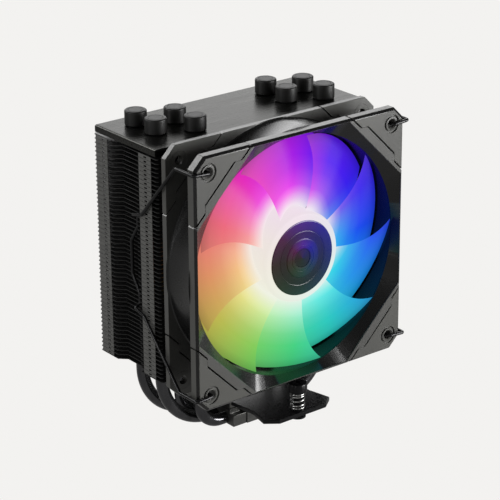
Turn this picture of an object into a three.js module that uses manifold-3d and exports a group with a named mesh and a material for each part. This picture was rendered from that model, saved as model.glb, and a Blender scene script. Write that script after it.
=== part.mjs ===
// A single-tower CPU cooler with four U-shaped heat pipes and one 120 mm fan.
// Millimetres, +Z up. The fan draws air in at -Y and blows it through the fins to +Y.
// The origin is the centre of the contact face that rests on the processor.
import * as THREE from 'three';
import { mergeVertices } from 'three/addons/utils/BufferGeometryUtils.js';
import Module from 'manifold-3d';

const wasm = await Module();
wasm.setup();

// ---- driving dimensions -------------------------------------------------------------------
const GAP = 0.3;                    // clearance between neighbouring solids

// Fan
const FAN_HALF = 60;                // a 120 mm fan
const FAN_DEPTH = 25;
const FAN_Z = 92.7;                 // height of the fan's axis
const FAN_FRONT = -51.5;            // front face of the frame
const FAN_REAR = FAN_FRONT + FAN_DEPTH;
const FAN_CORNER = 5.6;             // leg of the cut corner
const FRONT_FLANGE = 5;
const REAR_FLANGE = 4;
const DUCT_INNER = 57.2;
const DUCT_OUTER = 59.4;
const MOUTH_FLAT = 58.7;            // octagonal mouth: distance to the four straight sides
const MOUTH_CORNER = 27;            // octagonal mouth: half length of a straight side
const MOUTH_DEPTH = 4;
const HOLE_OFFSET = 52.5;           // 105 mm between the fixing holes
const HOLE_RADIUS = 2.15;
const PAD_LEG = 29;                 // where a corner pad meets the frame's edge
const PAD_LIP = 2.5;                // the seam's slanted stretch next to the edge
const PAD_NOTCH = 5.7;              // where the seam turns round the frame's tab
const PAD_STEP = 3.8;               // how far the frame's tab reaches into the pad
const WEB_THICKNESS = 1.2;          // frame web that the corner pads slip over
const WEB_INSET = 2.2;
const STRUT_WIDTH = 4.4;
const STRUT_DEPTH = 2.8;
const STRUT_OFFSET = 7;
const STRUT_ROOT = 2;               // how far a strut reaches into the mount plate
const STRUT_ANGLE = Math.PI / 5;
const MOUNT_RADIUS = 20.5;          // motor mount plate

// Rotor
const BLADE_COUNT = 9;
const TIP_RADIUS = 56.2;
const HUB_RADIUS = 21.3;
const HUB_WALL = 1.9;
const HUB_FRONT = -50.6;
const HUB_REAR = -33;
const CAP_RADIUS = 17.7;
const BLADE_FRONT = -48.6;
const BLADE_REAR = -32.8;
const BLADE_SWEEP = 0.3;            // how far the tip is turned ahead of the root, in radians
const BLADE_WIDTH_ROOT = 1.3;       // the angle that one blade covers at the hub, in radians
const BLADE_WIDTH_TIP = 0.96;
const SHAFT_RADIUS = 1.5;

// Tower
const TOWER_HALF_WIDTH = 60;
const TOWER_HALF_DEPTH = 24.2;
const FIN_BOTTOM = 38.3;
const FIN_PITCH = 4.1;              // every second fin of the real stack
const FIN_COUNT = 27;
const FIN_THICKNESS = 0.6;
const STRIP_THICKNESS = 0.6;        // the fins' folded tabs, which join into strips
const STRIPS = [[13.6, 22.6], [-19.7, -10.5]];
const RECESS_DEPTH = 3.5;           // finger recess where the fan clips hook in
const RECESS = [-8.2, 10.4];
const COVER_TOP = 149.5;
const COVER_THICKNESS = 1;
const COVER_SKIRT = 3.2;
const COVER_HALF_DEPTH = 23;

// Heat pipes: across the width they are staggered, front to back they are evenly spaced
const PIPE_RADIUS = 3;
const PIPE_PITCH = 7.65;
const PIPE_WIDE = 45.5;             // leg of the wide bend
const PIPE_NARROW = 29.3;           // leg of the narrow bend
const WIDE_BEND = 27;
const NARROW_BEND = 11.5;
const PIPE_AXIS_Z = 2.6;            // the pipes are milled flush with the contact face
const PIPE_TOP = 153.4;
const CAP_OUTER = 5.1;
const CAP_TOP = 156.7;
const PIPES = [
  { y: 1.5 * PIPE_PITCH, left: PIPE_WIDE, right: PIPE_NARROW },
  { y: 0.5 * PIPE_PITCH, left: PIPE_NARROW, right: PIPE_WIDE },
  { y: -0.5 * PIPE_PITCH, left: PIPE_WIDE, right: PIPE_NARROW },
  { y: -1.5 * PIPE_PITCH, left: PIPE_NARROW, right: PIPE_WIDE },
];

// Base and mounting bar
const BASE_HALF_X = 14.9;
const BASE_HALF_Y = 18.6;
const BASE_LEDGE = 5.7;
const BASE_TOP = 8;
const BASE_CORE_Y = 15.6;
const BOSS_HALF_X = 7.1;
const BOSS_HALF_Y = 19.2;
const COVER_PLATE_TOP = 13;
const RAIL_TOP = 17;
const BAR_THICKNESS = 2;
const BAR_MIDDLE_HALF = 11;         // the bar's half width between the rails
const BAR_MIDDLE_Y = 16;
const BAR_SHOULDER_HALF = 18.2;     // half width where the bar leaves the rails
const BAR_FOLD_HALF = 17.5;
const BAR_FOOT_HALF = 19.9;
const BAR_TOE_HALF = 14;
const BAR_FOOT_TOP = 16.2;
const BAR_FOLD_Y = 37;
const BAR_CHAMFER_Y = 47.5;         // where the foot's corners are cut
const BAR_END_Y = 52;
const BAR_SCREW_Y = 9;
const BAR_SCREW_RADIUS = 1.45;
const SCREW_Y = 48;
const SCREW_HEAD_TOP = 30;
const SCREW_HEAD = 4.5;
const SHANK_RADIUS = 2;
const SPRING_RADIUS = 3.1;
const SPRING_WIRE = 0.45;
const SPRING_TURNS = 5;

// Wire clips
const WIRE_RADIUS = 0.8;

// ---- materials ----------------------------------------------------------------------------
const material = (color, roughness, metalness) => (
  new THREE.MeshStandardMaterial({ color, roughness, metalness }));
const BLACK_FIN = material(0x2a2a2a, 0.5, 0.7);
const COVER_METAL = material(0x6c6c6a, 0.35, 0.8);
const PIPE_METAL = material(0x262626, 0.3, 0.9);
const CAP_METAL = material(0x161614, 0.6, 0.4);
const BASE_METAL = material(0x6b6b6b, 0.35, 0.9);
const BAR_PAINT = material(0x18181a, 0.35, 0.5);
const STEEL = material(0x8a8a88, 0.3, 1);
const FRAME_PLASTIC = material(0x3a3a38, 0.5, 0);
const PAD_RUBBER = material(0x4a4a48, 0.7, 0);
const BLADE_PLASTIC = material(0xe8e8f0, 0.3, 0);
const HUB_PLASTIC = material(0x101018, 0.15, 0);
const MAGNET = material(0x2e2a28, 0.6, 0.2);
const COPPER = material(0xb06a3a, 0.4, 1);
const BOARD = material(0x1c3a24, 0.5, 0);
const BRONZE = material(0x9a7a48, 0.4, 1);
const WIRE_STEEL = material(0x141414, 0.35, 0.8);
const WHITE_NYLON = material(0xd8d8d0, 0.5, 0);

// ---- closed solids and booleans -----------------------------------------------------------
function toSolid(geometry) {
  const bare = geometry.clone();
  bare.deleteAttribute('normal');
  bare.deleteAttribute('uv');
  const merged = mergeVertices(bare, 1e-4);
  return new wasm.Manifold(new wasm.Mesh({
    numProp: 3,
    vertProperties: new Float32Array(merged.attributes.position.array),
    triVerts: new Uint32Array(merged.index.array),
  }));
}

function toGeometry(solid) {
  const mesh = solid.getMesh();
  const geometry = new THREE.BufferGeometry();
  geometry.setAttribute('position', new THREE.BufferAttribute(mesh.vertProperties, 3));
  geometry.setIndex(new THREE.BufferAttribute(mesh.triVerts, 1));
  return geometry;
}

const join = (first, ...rest) => rest.reduce((sum, next) => sum.add(next), first);
const cut = (first, ...rest) => rest.reduce((left, next) => left.subtract(next), first);

function box(x0, x1, y0, y1, z0, z1) {
  const geometry = new THREE.BoxGeometry(x1 - x0, y1 - y0, z1 - z0);
  return geometry.translate((x0 + x1) / 2, (y0 + y1) / 2, (z0 + z1) / 2);
}

// A flat outline in X and Y, raised from z0 to z1.
function plateZ(points, z0, z1) {
  const shape = new THREE.Shape(points.map(([x, y]) => new THREE.Vector2(x, y)));
  const geometry = new THREE.ExtrudeGeometry(shape, { depth: z1 - z0, bevelEnabled: false });
  return geometry.translate(0, 0, z0);
}

// A flat outline in X and Z, drawn about the fan's axis and filled from y0 to y1.
function plateFan(points, y0, y1) {
  const geometry = plateZ(points, 0, y1 - y0);
  return geometry.rotateX(Math.PI / 2).translate(0, y1, FAN_Z);
}

const rodZ = (x, y, radius, z0, z1, sides = 16) => (
  new THREE.CylinderGeometry(radius, radius, z1 - z0, sides)
    .rotateX(Math.PI / 2).translate(x, y, (z0 + z1) / 2));

const rodY = (x, z, radius, y0, y1, sides = 16) => (
  new THREE.CylinderGeometry(radius, radius, y1 - y0, sides).translate(x, (y0 + y1) / 2, z));

// Turned about the fan's axis from [radius, y] points, listed from front to rear outside.
function turnFan(profile, sides = 32) {
  const points = profile.map(([radius, y]) => new THREE.Vector2(radius, y));
  return new THREE.LatheGeometry(points, sides).translate(0, 0, FAN_Z);
}

// Turned about a vertical axis from [radius, z] points, listed from bottom to top outside.
function turnZ(profile, x, y, sides = 16) {
  const points = profile.map(([radius, z]) => new THREE.Vector2(radius, z));
  return new THREE.LatheGeometry(points, sides).rotateX(Math.PI / 2).translate(x, y, 0);
}

const ring = (inner, outer, y0, y1, sides) => (
  turnFan([[outer, y0], [outer, y1], [inner, y1], [inner, y0], [outer, y0]], sides));

// A path with one station for each ring of a swept tube.
class StationPath extends THREE.Curve {
  constructor(stations) {
    super();
    this.stations = stations;
  }

  getPoint(t) {
    const place = t * (this.stations.length - 1);
    const index = Math.min(Math.floor(place), this.stations.length - 2);
    return this.stations[index].clone().lerp(this.stations[index + 1], place - index);
  }

  getPointAt(t) {
    return this.getPoint(t);
  }

  getTangentAt(t) {
    const last = this.stations.length - 1;
    const index = Math.round(t * last);
    const before = this.stations[Math.max(index - 1, 0)];
    const here = this.stations[index];
    const after = this.stations[Math.min(index + 1, last)];
    const incoming = here.clone().sub(before).normalize();
    const outgoing = after.clone().sub(here).normalize();
    return incoming.add(outgoing).normalize();
  }
}

// Straight runs between corners, with each inner corner rounded to its radius.
function roundedRoute(corners, radii, steps) {
  const route = [corners[0].clone()];
  for (let i = 1; i < corners.length - 1; i += 1) {
    const incoming = corners[i].clone().sub(corners[i - 1]).normalize();
    const outgoing = corners[i + 1].clone().sub(corners[i]).normalize();
    const turn = incoming.angleTo(outgoing);
    const radius = radii[i - 1];
    const reach = radius * Math.tan(turn / 2);
    const start = corners[i].clone().addScaledVector(incoming, -reach);
    const end = corners[i].clone().addScaledVector(outgoing, reach);
    const inward = outgoing.clone().sub(incoming).normalize();
    const centre = corners[i].clone().addScaledVector(inward, radius / Math.cos(turn / 2));
    const from = start.sub(centre);
    const to = end.sub(centre);
    for (let k = 0; k <= steps; k += 1) {
      const share = k / steps;
      route.push(centre.clone()
        .addScaledVector(from, Math.sin((1 - share) * turn) / Math.sin(turn))
        .addScaledVector(to, Math.sin(share * turn) / Math.sin(turn)));
    }
  }
  route.push(corners.at(-1).clone());
  return route;
}

function tube(stations, radius, sides) {
  const section = new THREE.Shape();
  for (let i = 0; i < sides; i += 1) {
    const angle = (2 * Math.PI * (i + 0.5)) / sides;
    const x = radius * Math.cos(angle);
    const y = radius * Math.sin(angle);
    if (i === 0) section.moveTo(x, y);
    else section.lineTo(x, y);
  }
  section.closePath();
  return new THREE.ExtrudeGeometry(section, {
    steps: stations.length - 1,
    bevelEnabled: false,
    extrudePath: new StationPath(stations),
  });
}

const mirrorX = (points) => points.map(([x, y]) => [-x, y]).reverse();

// ---- the object ---------------------------------------------------------------------------
const group = new THREE.Group();

function add(name, shape, finish) {
  const geometry = shape.isBufferGeometry ? shape : toGeometry(shape);
  const mesh = new THREE.Mesh(geometry, finish);
  mesh.name = name;
  group.add(mesh);
}

// Where each pipe leg stands.
const pipeLegs = () => PIPES.flatMap(({ y, left, right }) => [[-left, y], [right, y]]);

// The stack of aluminium fins. Each fin's side tabs fold down onto the next fin.
function finStack() {
  const w = TOWER_HALF_WIDTH;
  const floor = w - RECESS_DEPTH;
  const rightSide = [
    [w, -TOWER_HALF_DEPTH], [w, RECESS[0]], [floor, RECESS[0]],
    [floor, RECESS[1] - RECESS_DEPTH], [w, RECESS[1]], [w, TOWER_HALF_DEPTH],
  ];
  const outline = [...rightSide, ...mirrorX(rightSide)];
  const solids = [];
  for (let i = 0; i < FIN_COUNT; i += 1) {
    const z = FIN_BOTTOM + i * FIN_PITCH;
    solids.push(toSolid(plateZ(outline, z, z + FIN_THICKNESS)));
  }
  const top = FIN_BOTTOM + (FIN_COUNT - 1) * FIN_PITCH + FIN_THICKNESS;
  for (const [y0, y1] of STRIPS) {
    solids.push(toSolid(box(-w, -w + STRIP_THICKNESS, y0, y1, FIN_BOTTOM, top)));
    solids.push(toSolid(box(w - STRIP_THICKNESS, w, y0, y1, FIN_BOTTOM, top)));
  }
  // The two pipe legs of each column share one slot.
  const half = PIPE_RADIUS + GAP;
  const columns = [
    [-PIPE_WIDE, PIPES[2].y, PIPES[0].y], [-PIPE_NARROW, PIPES[3].y, PIPES[1].y],
    [PIPE_NARROW, PIPES[2].y, PIPES[0].y], [PIPE_WIDE, PIPES[3].y, PIPES[1].y],
  ];
  const slots = columns.map(([x, y0, y1]) => (
    toSolid(box(x - half, x + half, y0 - half, y1 + half, FIN_BOTTOM - 1, top + 1))));
  return cut(join(...solids), ...slots);
}

// The brushed top cover, folded down at both ends.
function topCover() {
  const w = TOWER_HALF_WIDTH;
  const d = COVER_HALF_DEPTH;
  const under = COVER_TOP - COVER_THICKNESS;
  const plate = box(-w, w, -d, d, under, COVER_TOP);
  const skirts = [-w, w - COVER_THICKNESS].map((x) => (
    toSolid(box(x, x + COVER_THICKNESS, -d, d, COVER_TOP - COVER_SKIRT, COVER_TOP))));
  const holes = pipeLegs().map(([x, y]) => (
    toSolid(rodZ(x, y, PIPE_RADIUS + 2 * GAP, under - 1, COVER_TOP + 1, 12))));
  return cut(join(toSolid(plate), ...skirts), ...holes);
}

// A copper pipe bent into a U and milled flat where it meets the processor.
function heatPipe({ y, left, right }) {
  const corners = [
    new THREE.Vector3(-left, y, PIPE_TOP),
    new THREE.Vector3(-left, y, PIPE_AXIS_Z),
    new THREE.Vector3(right, y, PIPE_AXIS_Z),
    new THREE.Vector3(right, y, PIPE_TOP),
  ];
  const bend = (leg) => (leg === PIPE_WIDE ? WIDE_BEND : NARROW_BEND);
  const round = toSolid(tube(roundedRoute(corners, [bend(left), bend(right)], 6), PIPE_RADIUS, 12));
  return cut(round, toSolid(box(-60, 60, y - 6, y + 6, -5, 0)));
}

// A turned cap over each pipe end, with a blind bore.
function pipeCap(x, y) {
  const bottom = COVER_TOP + GAP;
  const edge = 0.5;
  return turnZ([
    [0, PIPE_TOP + GAP], [PIPE_RADIUS + GAP, PIPE_TOP + GAP], [PIPE_RADIUS + GAP, bottom],
    [CAP_OUTER, bottom], [CAP_OUTER, CAP_TOP - edge], [CAP_OUTER - edge, CAP_TOP], [0, CAP_TOP],
  ], x, y, 12);
}

// The grooved aluminium block that holds the pipes against the processor.
function baseBlock() {
  const body = join(
    toSolid(box(-BASE_HALF_X, BASE_HALF_X, -BASE_HALF_Y, BASE_HALF_Y, 0, BASE_LEDGE)),
    toSolid(box(-BASE_HALF_X, BASE_HALF_X, -BASE_CORE_Y, BASE_CORE_Y, 0, BASE_TOP)),
    toSolid(box(-BOSS_HALF_X, BOSS_HALF_X, -BOSS_HALF_Y, BOSS_HALF_Y, 0, BASE_TOP)),
  );
  const grooves = PIPES.map(({ y }) => toSolid(
    new THREE.CylinderGeometry(PIPE_RADIUS + GAP, PIPE_RADIUS + GAP, 2 * BASE_HALF_X + 2, 16)
      .rotateZ(Math.PI / 2).translate(0, y, PIPE_AXIS_Z)));
  return cut(body, ...grooves);
}

// The plate on top of the block, with two rails that keep the mounting bar straight.
function baseCover() {
  const bottom = BASE_TOP + GAP;
  const rail = BAR_MIDDLE_HALF + 2 * GAP;
  const body = join(
    toSolid(box(-BASE_HALF_X, BASE_HALF_X, -BASE_CORE_Y, BASE_CORE_Y, bottom, COVER_PLATE_TOP)),
    toSolid(box(-BASE_HALF_X, -rail, -BASE_CORE_Y, BASE_CORE_Y, bottom, RAIL_TOP)),
    toSolid(box(rail, BASE_HALF_X, -BASE_CORE_Y, BASE_CORE_Y, bottom, RAIL_TOP)),
  );
  const holes = [-BAR_SCREW_Y, BAR_SCREW_Y].map((y) => (
    toSolid(rodZ(0, y, BAR_SCREW_RADIUS + GAP, bottom - 1, COVER_PLATE_TOP + 1, 12))));
  return cut(body, ...holes);
}

// The steel mounting bar: level over the base, a shallow rise, then a wide foot at each end.
function crossbar() {
  const low = COVER_PLATE_TOP + GAP;
  const foot = BAR_FOOT_TOP - BAR_THICKNESS;
  const lowerEdge = [
    [-BAR_END_Y, foot], [-BAR_FOLD_Y, foot], [-BAR_MIDDLE_Y - 3, low],
    [BAR_MIDDLE_Y + 3, low], [BAR_FOLD_Y, foot], [BAR_END_Y, foot],
  ];
  const upperEdge = lowerEdge.map(([y, z]) => [y, z + BAR_THICKNESS]).reverse();
  const sheet = plateZ([...lowerEdge, ...upperEdge], -BAR_FOOT_HALF - 1, BAR_FOOT_HALF + 1)
    .rotateX(Math.PI / 2).rotateZ(Math.PI / 2);
  const frontRight = [
    [BAR_MIDDLE_HALF, -BAR_MIDDLE_Y - 2.5], [BAR_SHOULDER_HALF, -BAR_MIDDLE_Y - 5],
    [BAR_FOLD_HALF, -BAR_FOLD_Y], [BAR_FOOT_HALF, -BAR_CHAMFER_Y], [BAR_TOE_HALF, -BAR_END_Y],
  ];
  const rearRight = frontRight.map(([x, y]) => [x, -y]).reverse();
  const right = [...frontRight.slice().reverse(), ...rearRight.slice().reverse()];
  const plan = toSolid(plateZ([...right, ...mirrorX(right)], 0, BAR_FOOT_TOP + 5));
  const holes = [-1, 1].flatMap((end) => [
    toSolid(rodZ(0, end * SCREW_Y, SHANK_RADIUS + 0.5, low - 5, SCREW_HEAD_TOP)),
    toSolid(rodZ(0, end * BAR_SCREW_Y, BAR_SCREW_RADIUS + GAP, low - 5, SCREW_HEAD_TOP, 12)),
  ]);
  return cut(toSolid(sheet).intersect(plan), ...holes);
}

function crossbarScrew(y) {
  const seat = COVER_PLATE_TOP + BAR_THICKNESS + 2 * GAP;
  const r = BAR_SCREW_RADIUS;
  return turnZ([
    [0, BASE_TOP + 2 * GAP], [r, BASE_TOP + 2 * GAP], [r, seat],
    [2.8, seat], [2.8, seat + 1], [2, seat + 1.7], [0, seat + 1.7],
  ], 0, y, 12);
}

const GROOVE = [12.3, 13.7];        // groove for the retaining ring under the bar's foot
const GROOVE_RADIUS = 1.5;
const SCREW_TIP = 11.4;
const HEAD_UNDERSIDE = 25.5;

// A spring-loaded mounting screw. It turns, and it is pressed down against its spring.
function springScrew(y) {
  return turnZ([
    [0, SCREW_TIP], [1.6, SCREW_TIP], [SHANK_RADIUS, SCREW_TIP + 0.4],
    [SHANK_RADIUS, GROOVE[0]], [GROOVE_RADIUS, GROOVE[0]], [GROOVE_RADIUS, GROOVE[1]],
    [SHANK_RADIUS, GROOVE[1]], [SHANK_RADIUS, HEAD_UNDERSIDE], [SCREW_HEAD, HEAD_UNDERSIDE],
    [SCREW_HEAD, SCREW_HEAD_TOP - 0.5], [SCREW_HEAD - 0.5, SCREW_HEAD_TOP], [0, SCREW_HEAD_TOP],
  ], 0, y, 16);
}

// The coil spring between the bar's foot and the screw's head.
function screwSpring(y) {
  const bottom = BAR_FOOT_TOP + GAP + SPRING_WIRE;
  const top = HEAD_UNDERSIDE - GAP - SPRING_WIRE;
  const perTurn = 8;
  const stations = [];
  for (let i = 0; i <= SPRING_TURNS * perTurn; i += 1) {
    const angle = (2 * Math.PI * i) / perTurn;
    const z = bottom + ((top - bottom) * i) / (SPRING_TURNS * perTurn);
    stations.push(new THREE.Vector3(
      SPRING_RADIUS * Math.cos(angle), y + SPRING_RADIUS * Math.sin(angle), z));
  }
  return tube(stations, SPRING_WIRE, 4);
}

const RING_OUTER = 3.9;
const RING_OPENING = 0.5;           // half of the ring's open angle

// An open retaining ring that snaps into the screw's groove.
function screwRing(y) {
  const steps = 14;
  const arc = (radius) => Array.from({ length: steps + 1 }, (_, i) => {
    const angle = RING_OPENING + (2 * (Math.PI - RING_OPENING) * i) / steps;
    return [radius * Math.cos(angle), y + radius * Math.sin(angle)];
  });
  const outline = [...arc(RING_OUTER), ...arc(GROOVE_RADIUS + GAP).reverse()];
  return plateZ(outline, GROOVE[0] + 0.2, GROOVE[1] - 0.2);
}

// ---- fan ----------------------------------------------------------------------------------
function cutSquare(half, corner) {
  const inner = half - corner;
  return [
    [inner, -half], [half, -inner], [half, inner], [inner, half],
    [-inner, half], [-half, inner], [-half, -inner], [-inner, -half],
  ];
}

// The upper right corner piece, reaching past the frame. The step follows the frame's tab.
function padOutline(shift) {
  const far = FAN_HALF + 5;
  const leg = PAD_LEG + shift;
  return [
    [leg + FAN_HALF - far, far], [leg + PAD_LIP, FAN_HALF - PAD_LIP],
    [leg + PAD_NOTCH, FAN_HALF - PAD_NOTCH], [leg + PAD_NOTCH + PAD_STEP, FAN_HALF - PAD_NOTCH],
    [FAN_HALF - PAD_NOTCH, leg + PAD_NOTCH + PAD_STEP], [FAN_HALF - PAD_NOTCH, leg + PAD_NOTCH],
    [far, leg + FAN_HALF - far], [far, far],
  ].reverse();
}

// One corner outline for each corner, turned a quarter each time.
function atCorner(points, corner) {
  const quarter = (corner * Math.PI) / 2;
  const c = Math.round(Math.cos(quarter));
  const s = Math.round(Math.sin(quarter));
  return points.map(([x, z]) => [x * c - z * s, x * s + z * c]);
}

const CORNERS = ['top_right', 'top_left', 'bottom_left', 'bottom_right'];
const cornerHole = (corner) => atCorner([[HOLE_OFFSET, HOLE_OFFSET]], corner)[0];

// A flange is a plate with its corners thinned to webs that the pads slip over.
function flange(y0, y1) {
  const middle = (y0 + y1) / 2;
  let plate = toSolid(plateFan(cutSquare(FAN_HALF, FAN_CORNER), y0, y1));
  const inner = toSolid(plateFan(cutSquare(FAN_HALF - WEB_INSET, FAN_CORNER),
    middle - WEB_THICKNESS / 2, middle + WEB_THICKNESS / 2));
  for (let corner = 0; corner < 4; corner += 1) {
    const removed = toSolid(plateFan(atCorner(padOutline(-GAP), corner), y0 - 1, y1 + 1));
    plate = plate.subtract(removed.subtract(inner));
    const [x, z] = cornerHole(corner);
    plate = plate.subtract(toSolid(rodY(x, FAN_Z + z, HOLE_RADIUS + 0.5, y0 - 1, y1 + 1, 12)));
  }
  return plate;
}

// A soft corner pad: two skins and an outer wall around the frame's web.
function cornerPad(corner, y0, y1) {
  const middle = (y0 + y1) / 2;
  const slot = WEB_THICKNESS / 2 + GAP;
  const whole = toSolid(plateFan(cutSquare(FAN_HALF, FAN_CORNER), y0, y1))
    .intersect(toSolid(plateFan(atCorner(padOutline(0), corner), y0 - 1, y1 + 1)));
  const pocket = toSolid(plateFan(cutSquare(FAN_HALF - WEB_INSET + GAP, FAN_CORNER),
    middle - slot, middle + slot));
  const [x, z] = cornerHole(corner);
  return cut(whole, pocket, toSolid(rodY(x, FAN_Z + z, HOLE_RADIUS, y0 - 1, y1 + 1, 12)));
}

const FRONT_Y = [FAN_FRONT, FAN_FRONT + FRONT_FLANGE];
const REAR_Y = [FAN_REAR - REAR_FLANGE, FAN_REAR];
const DUCT_SIDES = 40;
const STRUT_FRONT = FAN_REAR - 4;
const MOUNT_FRONT = FAN_REAR - 3;
const BEARING_SEAT = 3.2;

// The moulded frame is modelled as four touching solids: front flange, duct, rear flange, mount.
const bore = () => (
  toSolid(rodY(0, FAN_Z, DUCT_INNER, FAN_FRONT - 1, FAN_REAR + 1, DUCT_SIDES)));

function frameFront() {
  const mouth = toSolid(plateFan(cutSquare(MOUTH_FLAT, MOUTH_FLAT - MOUTH_CORNER),
    FAN_FRONT - 1, FAN_FRONT + MOUTH_DEPTH));
  return cut(flange(...FRONT_Y), mouth, bore());
}

const frameDuct = () => ring(DUCT_INNER, DUCT_OUTER, FRONT_Y[1], REAR_Y[0], DUCT_SIDES);
const frameRear = () => cut(flange(...REAR_Y), bore());

// The motor mount's four struts lie off centre and stop just short of the duct.
function motorMount() {
  const inside = toSolid(rodY(0, FAN_Z, DUCT_INNER - GAP, STRUT_FRONT - 1, FAN_REAR, DUCT_SIDES));
  const struts = [0, 1, 2, 3].map((k) => {
    const strut = box(-STRUT_WIDTH / 2, STRUT_WIDTH / 2, STRUT_FRONT, STRUT_FRONT + STRUT_DEPTH,
      MOUNT_RADIUS - STRUT_ROOT, DUCT_OUTER);
    return toSolid(strut.translate(STRUT_OFFSET, 0, 0)
      .rotateY((k * Math.PI) / 2 + STRUT_ANGLE).translate(0, 0, FAN_Z)).intersect(inside);
  });
  const plate = toSolid(rodY(0, FAN_Z, MOUNT_RADIUS, MOUNT_FRONT, FAN_REAR - 0.5, 32));
  const seat = toSolid(rodY(0, FAN_Z, BEARING_SEAT + 1.2, MOUNT_FRONT - 1, FAN_REAR + 1, 16));
  return cut(join(plate, ...struts), seat);
}

// One blade: a thin sheet bent round the axis, its leading edge forward and turned ahead.
function blade(index) {
  const rows = 3;
  const across = 4;
  const geometry = new THREE.BoxGeometry(1, 1, 1, rows, across, 1);
  const place = geometry.attributes.position;
  const root = HUB_RADIUS - 0.6;
  for (let i = 0; i < place.count; i += 1) {
    const span = place.getX(i) + 0.5;
    const chord = place.getY(i);
    const side = place.getZ(i);
    const radius = root + (TIP_RADIUS - root) * span;
    const sweep = BLADE_SWEEP * span * span;
    const width = BLADE_WIDTH_ROOT + (BLADE_WIDTH_TIP - BLADE_WIDTH_ROOT) * span;
    const thickness = 1.8 - 0.7 * span - 0.6 * Math.abs(chord);
    const angle = (2 * Math.PI * index) / BLADE_COUNT + sweep + chord * width;
    const camber = 1.6 * (1 - 4 * chord * chord);
    const depth = BLADE_REAR - 1 + (BLADE_FRONT - BLADE_REAR + 2) * (chord + 0.5);
    place.setXYZ(i, radius * Math.cos(angle), depth + camber - side * thickness,
      radius * Math.sin(angle));
  }
  return geometry.translate(0, 0, FAN_Z);
}

// The translucent impeller: a cup-shaped hub with swept blades.
function impeller() {
  const inner = HUB_RADIUS - HUB_WALL;
  const round = 1.6;
  const cup = toSolid(turnFan([
    [0, HUB_FRONT], [HUB_RADIUS - round, HUB_FRONT], [HUB_RADIUS - 0.5, HUB_FRONT + 0.5],
    [HUB_RADIUS, HUB_FRONT + round], [HUB_RADIUS, HUB_REAR], [inner, HUB_REAR],
    [inner, HUB_FRONT + 1.5], [0, HUB_FRONT + 1.5],
  ], 32));
  const blades = [];
  for (let i = 0; i < BLADE_COUNT; i += 1) blades.push(toSolid(blade(i)));
  return join(cup, ...blades);
}

// The glossy cap in the middle of the hub, with two shallow turned steps.
function hubCap() {
  const back = HUB_FRONT - GAP;
  const face = FAN_FRONT;
  return turnFan([
    [0, face + 0.25], [4.6, face + 0.25], [5, face], [9, face], [9.4, face + 0.25],
    [CAP_RADIUS - 0.3, face + 0.25], [CAP_RADIUS, back], [0, back],
  ], 32);
}

const YOKE_OUTER = HUB_RADIUS - HUB_WALL - GAP;
const YOKE_INNER = YOKE_OUTER - 0.8;
const YOKE_FRONT = HUB_FRONT + 1.5 + GAP;
const MAGNET_FRONT = YOKE_FRONT + 2;
const MAGNET_THICKNESS = 1.3;
const TUBE_OUTER = 4.2;
const BEARING_PLAY = 0.06;
const SHAFT_GROOVE = [-29.6, -28.8];
const SHAFT_GROOVE_RADIUS = 1;
const STATOR_FRONT = -44;
const STATOR_REAR = -34.4;
const BOARD_FRONT = -32.4;
const BOARD_REAR = -30.8;

// The pressed steel cup that carries the magnet ring.
function rotorYoke() {
  const hole = SHAFT_RADIUS + GAP;
  return turnFan([
    [hole, YOKE_FRONT], [YOKE_OUTER, YOKE_FRONT], [YOKE_OUTER, HUB_REAR + 0.5],
    [YOKE_INNER, HUB_REAR + 0.5], [YOKE_INNER, YOKE_FRONT + 0.8], [hole, YOKE_FRONT + 0.8],
    [hole, YOKE_FRONT],
  ], 32);
}

const magnetRing = () => ring(YOKE_INNER - GAP - MAGNET_THICKNESS, YOKE_INNER - GAP,
  MAGNET_FRONT, STATOR_REAR, 32);

// The shaft runs from the hub to a groove for its clip near the rear.
function rotorShaft() {
  const front = YOKE_FRONT + 0.1;
  const end = SHAFT_GROOVE[1] + 0.6;
  return turnFan([
    [0, front], [SHAFT_RADIUS, front], [SHAFT_RADIUS, SHAFT_GROOVE[0]],
    [SHAFT_GROOVE_RADIUS, SHAFT_GROOVE[0]], [SHAFT_GROOVE_RADIUS, SHAFT_GROOVE[1]],
    [SHAFT_RADIUS, SHAFT_GROOVE[1]], [SHAFT_RADIUS - 0.3, end], [0, end],
  ], 16);
}

const shaftClip = () => ring(SHAFT_GROOVE_RADIUS + GAP, SHAFT_RADIUS + 1.1,
  SHAFT_GROOVE[0] + 0.2, SHAFT_GROOVE[1] - 0.2, 16);
const bearingTube = () => ring(BEARING_SEAT, TUBE_OUTER, STATOR_FRONT - 2, FAN_REAR - 1.3, 20);
const sleeveBearing = () => ring(SHAFT_RADIUS + BEARING_PLAY, BEARING_SEAT - GAP,
  STATOR_FRONT - 1, BOARD_REAR - 0.2, 20);
const bearingCover = () => rodY(0, FAN_Z, BEARING_SEAT + 0.8, FAN_REAR - 0.9, FAN_REAR - 0.5, 20);

// The wound stator: a core ring with nine rounded pole ends.
function stator() {
  const outer = YOKE_INNER - MAGNET_THICKNESS - 3 * GAP;
  const core = toSolid(ring(TUBE_OUTER + GAP, 8.6, STATOR_FRONT + 1, STATOR_REAR - 0.6, 20));
  const poles = [];
  for (let i = 0; i < BLADE_COUNT; i += 1) {
    const angle = (2 * Math.PI * i) / BLADE_COUNT;
    const coil = box(8, 13.4, STATOR_FRONT, STATOR_REAR, -2.1, 2.1);
    const tip = box(13, outer - 0.8, STATOR_FRONT + 2, STATOR_REAR - 1.6, -3.6, 3.6);
    poles.push(toSolid(coil.rotateY(angle).translate(0, 0, FAN_Z)));
    poles.push(toSolid(tip.rotateY(angle).translate(0, 0, FAN_Z)));
  }
  return join(core, ...poles);
}

const circuitBoard = () => ring(TUBE_OUTER + GAP, MOUNT_RADIUS - 1.2, BOARD_FRONT, BOARD_REAR, 32);

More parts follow.
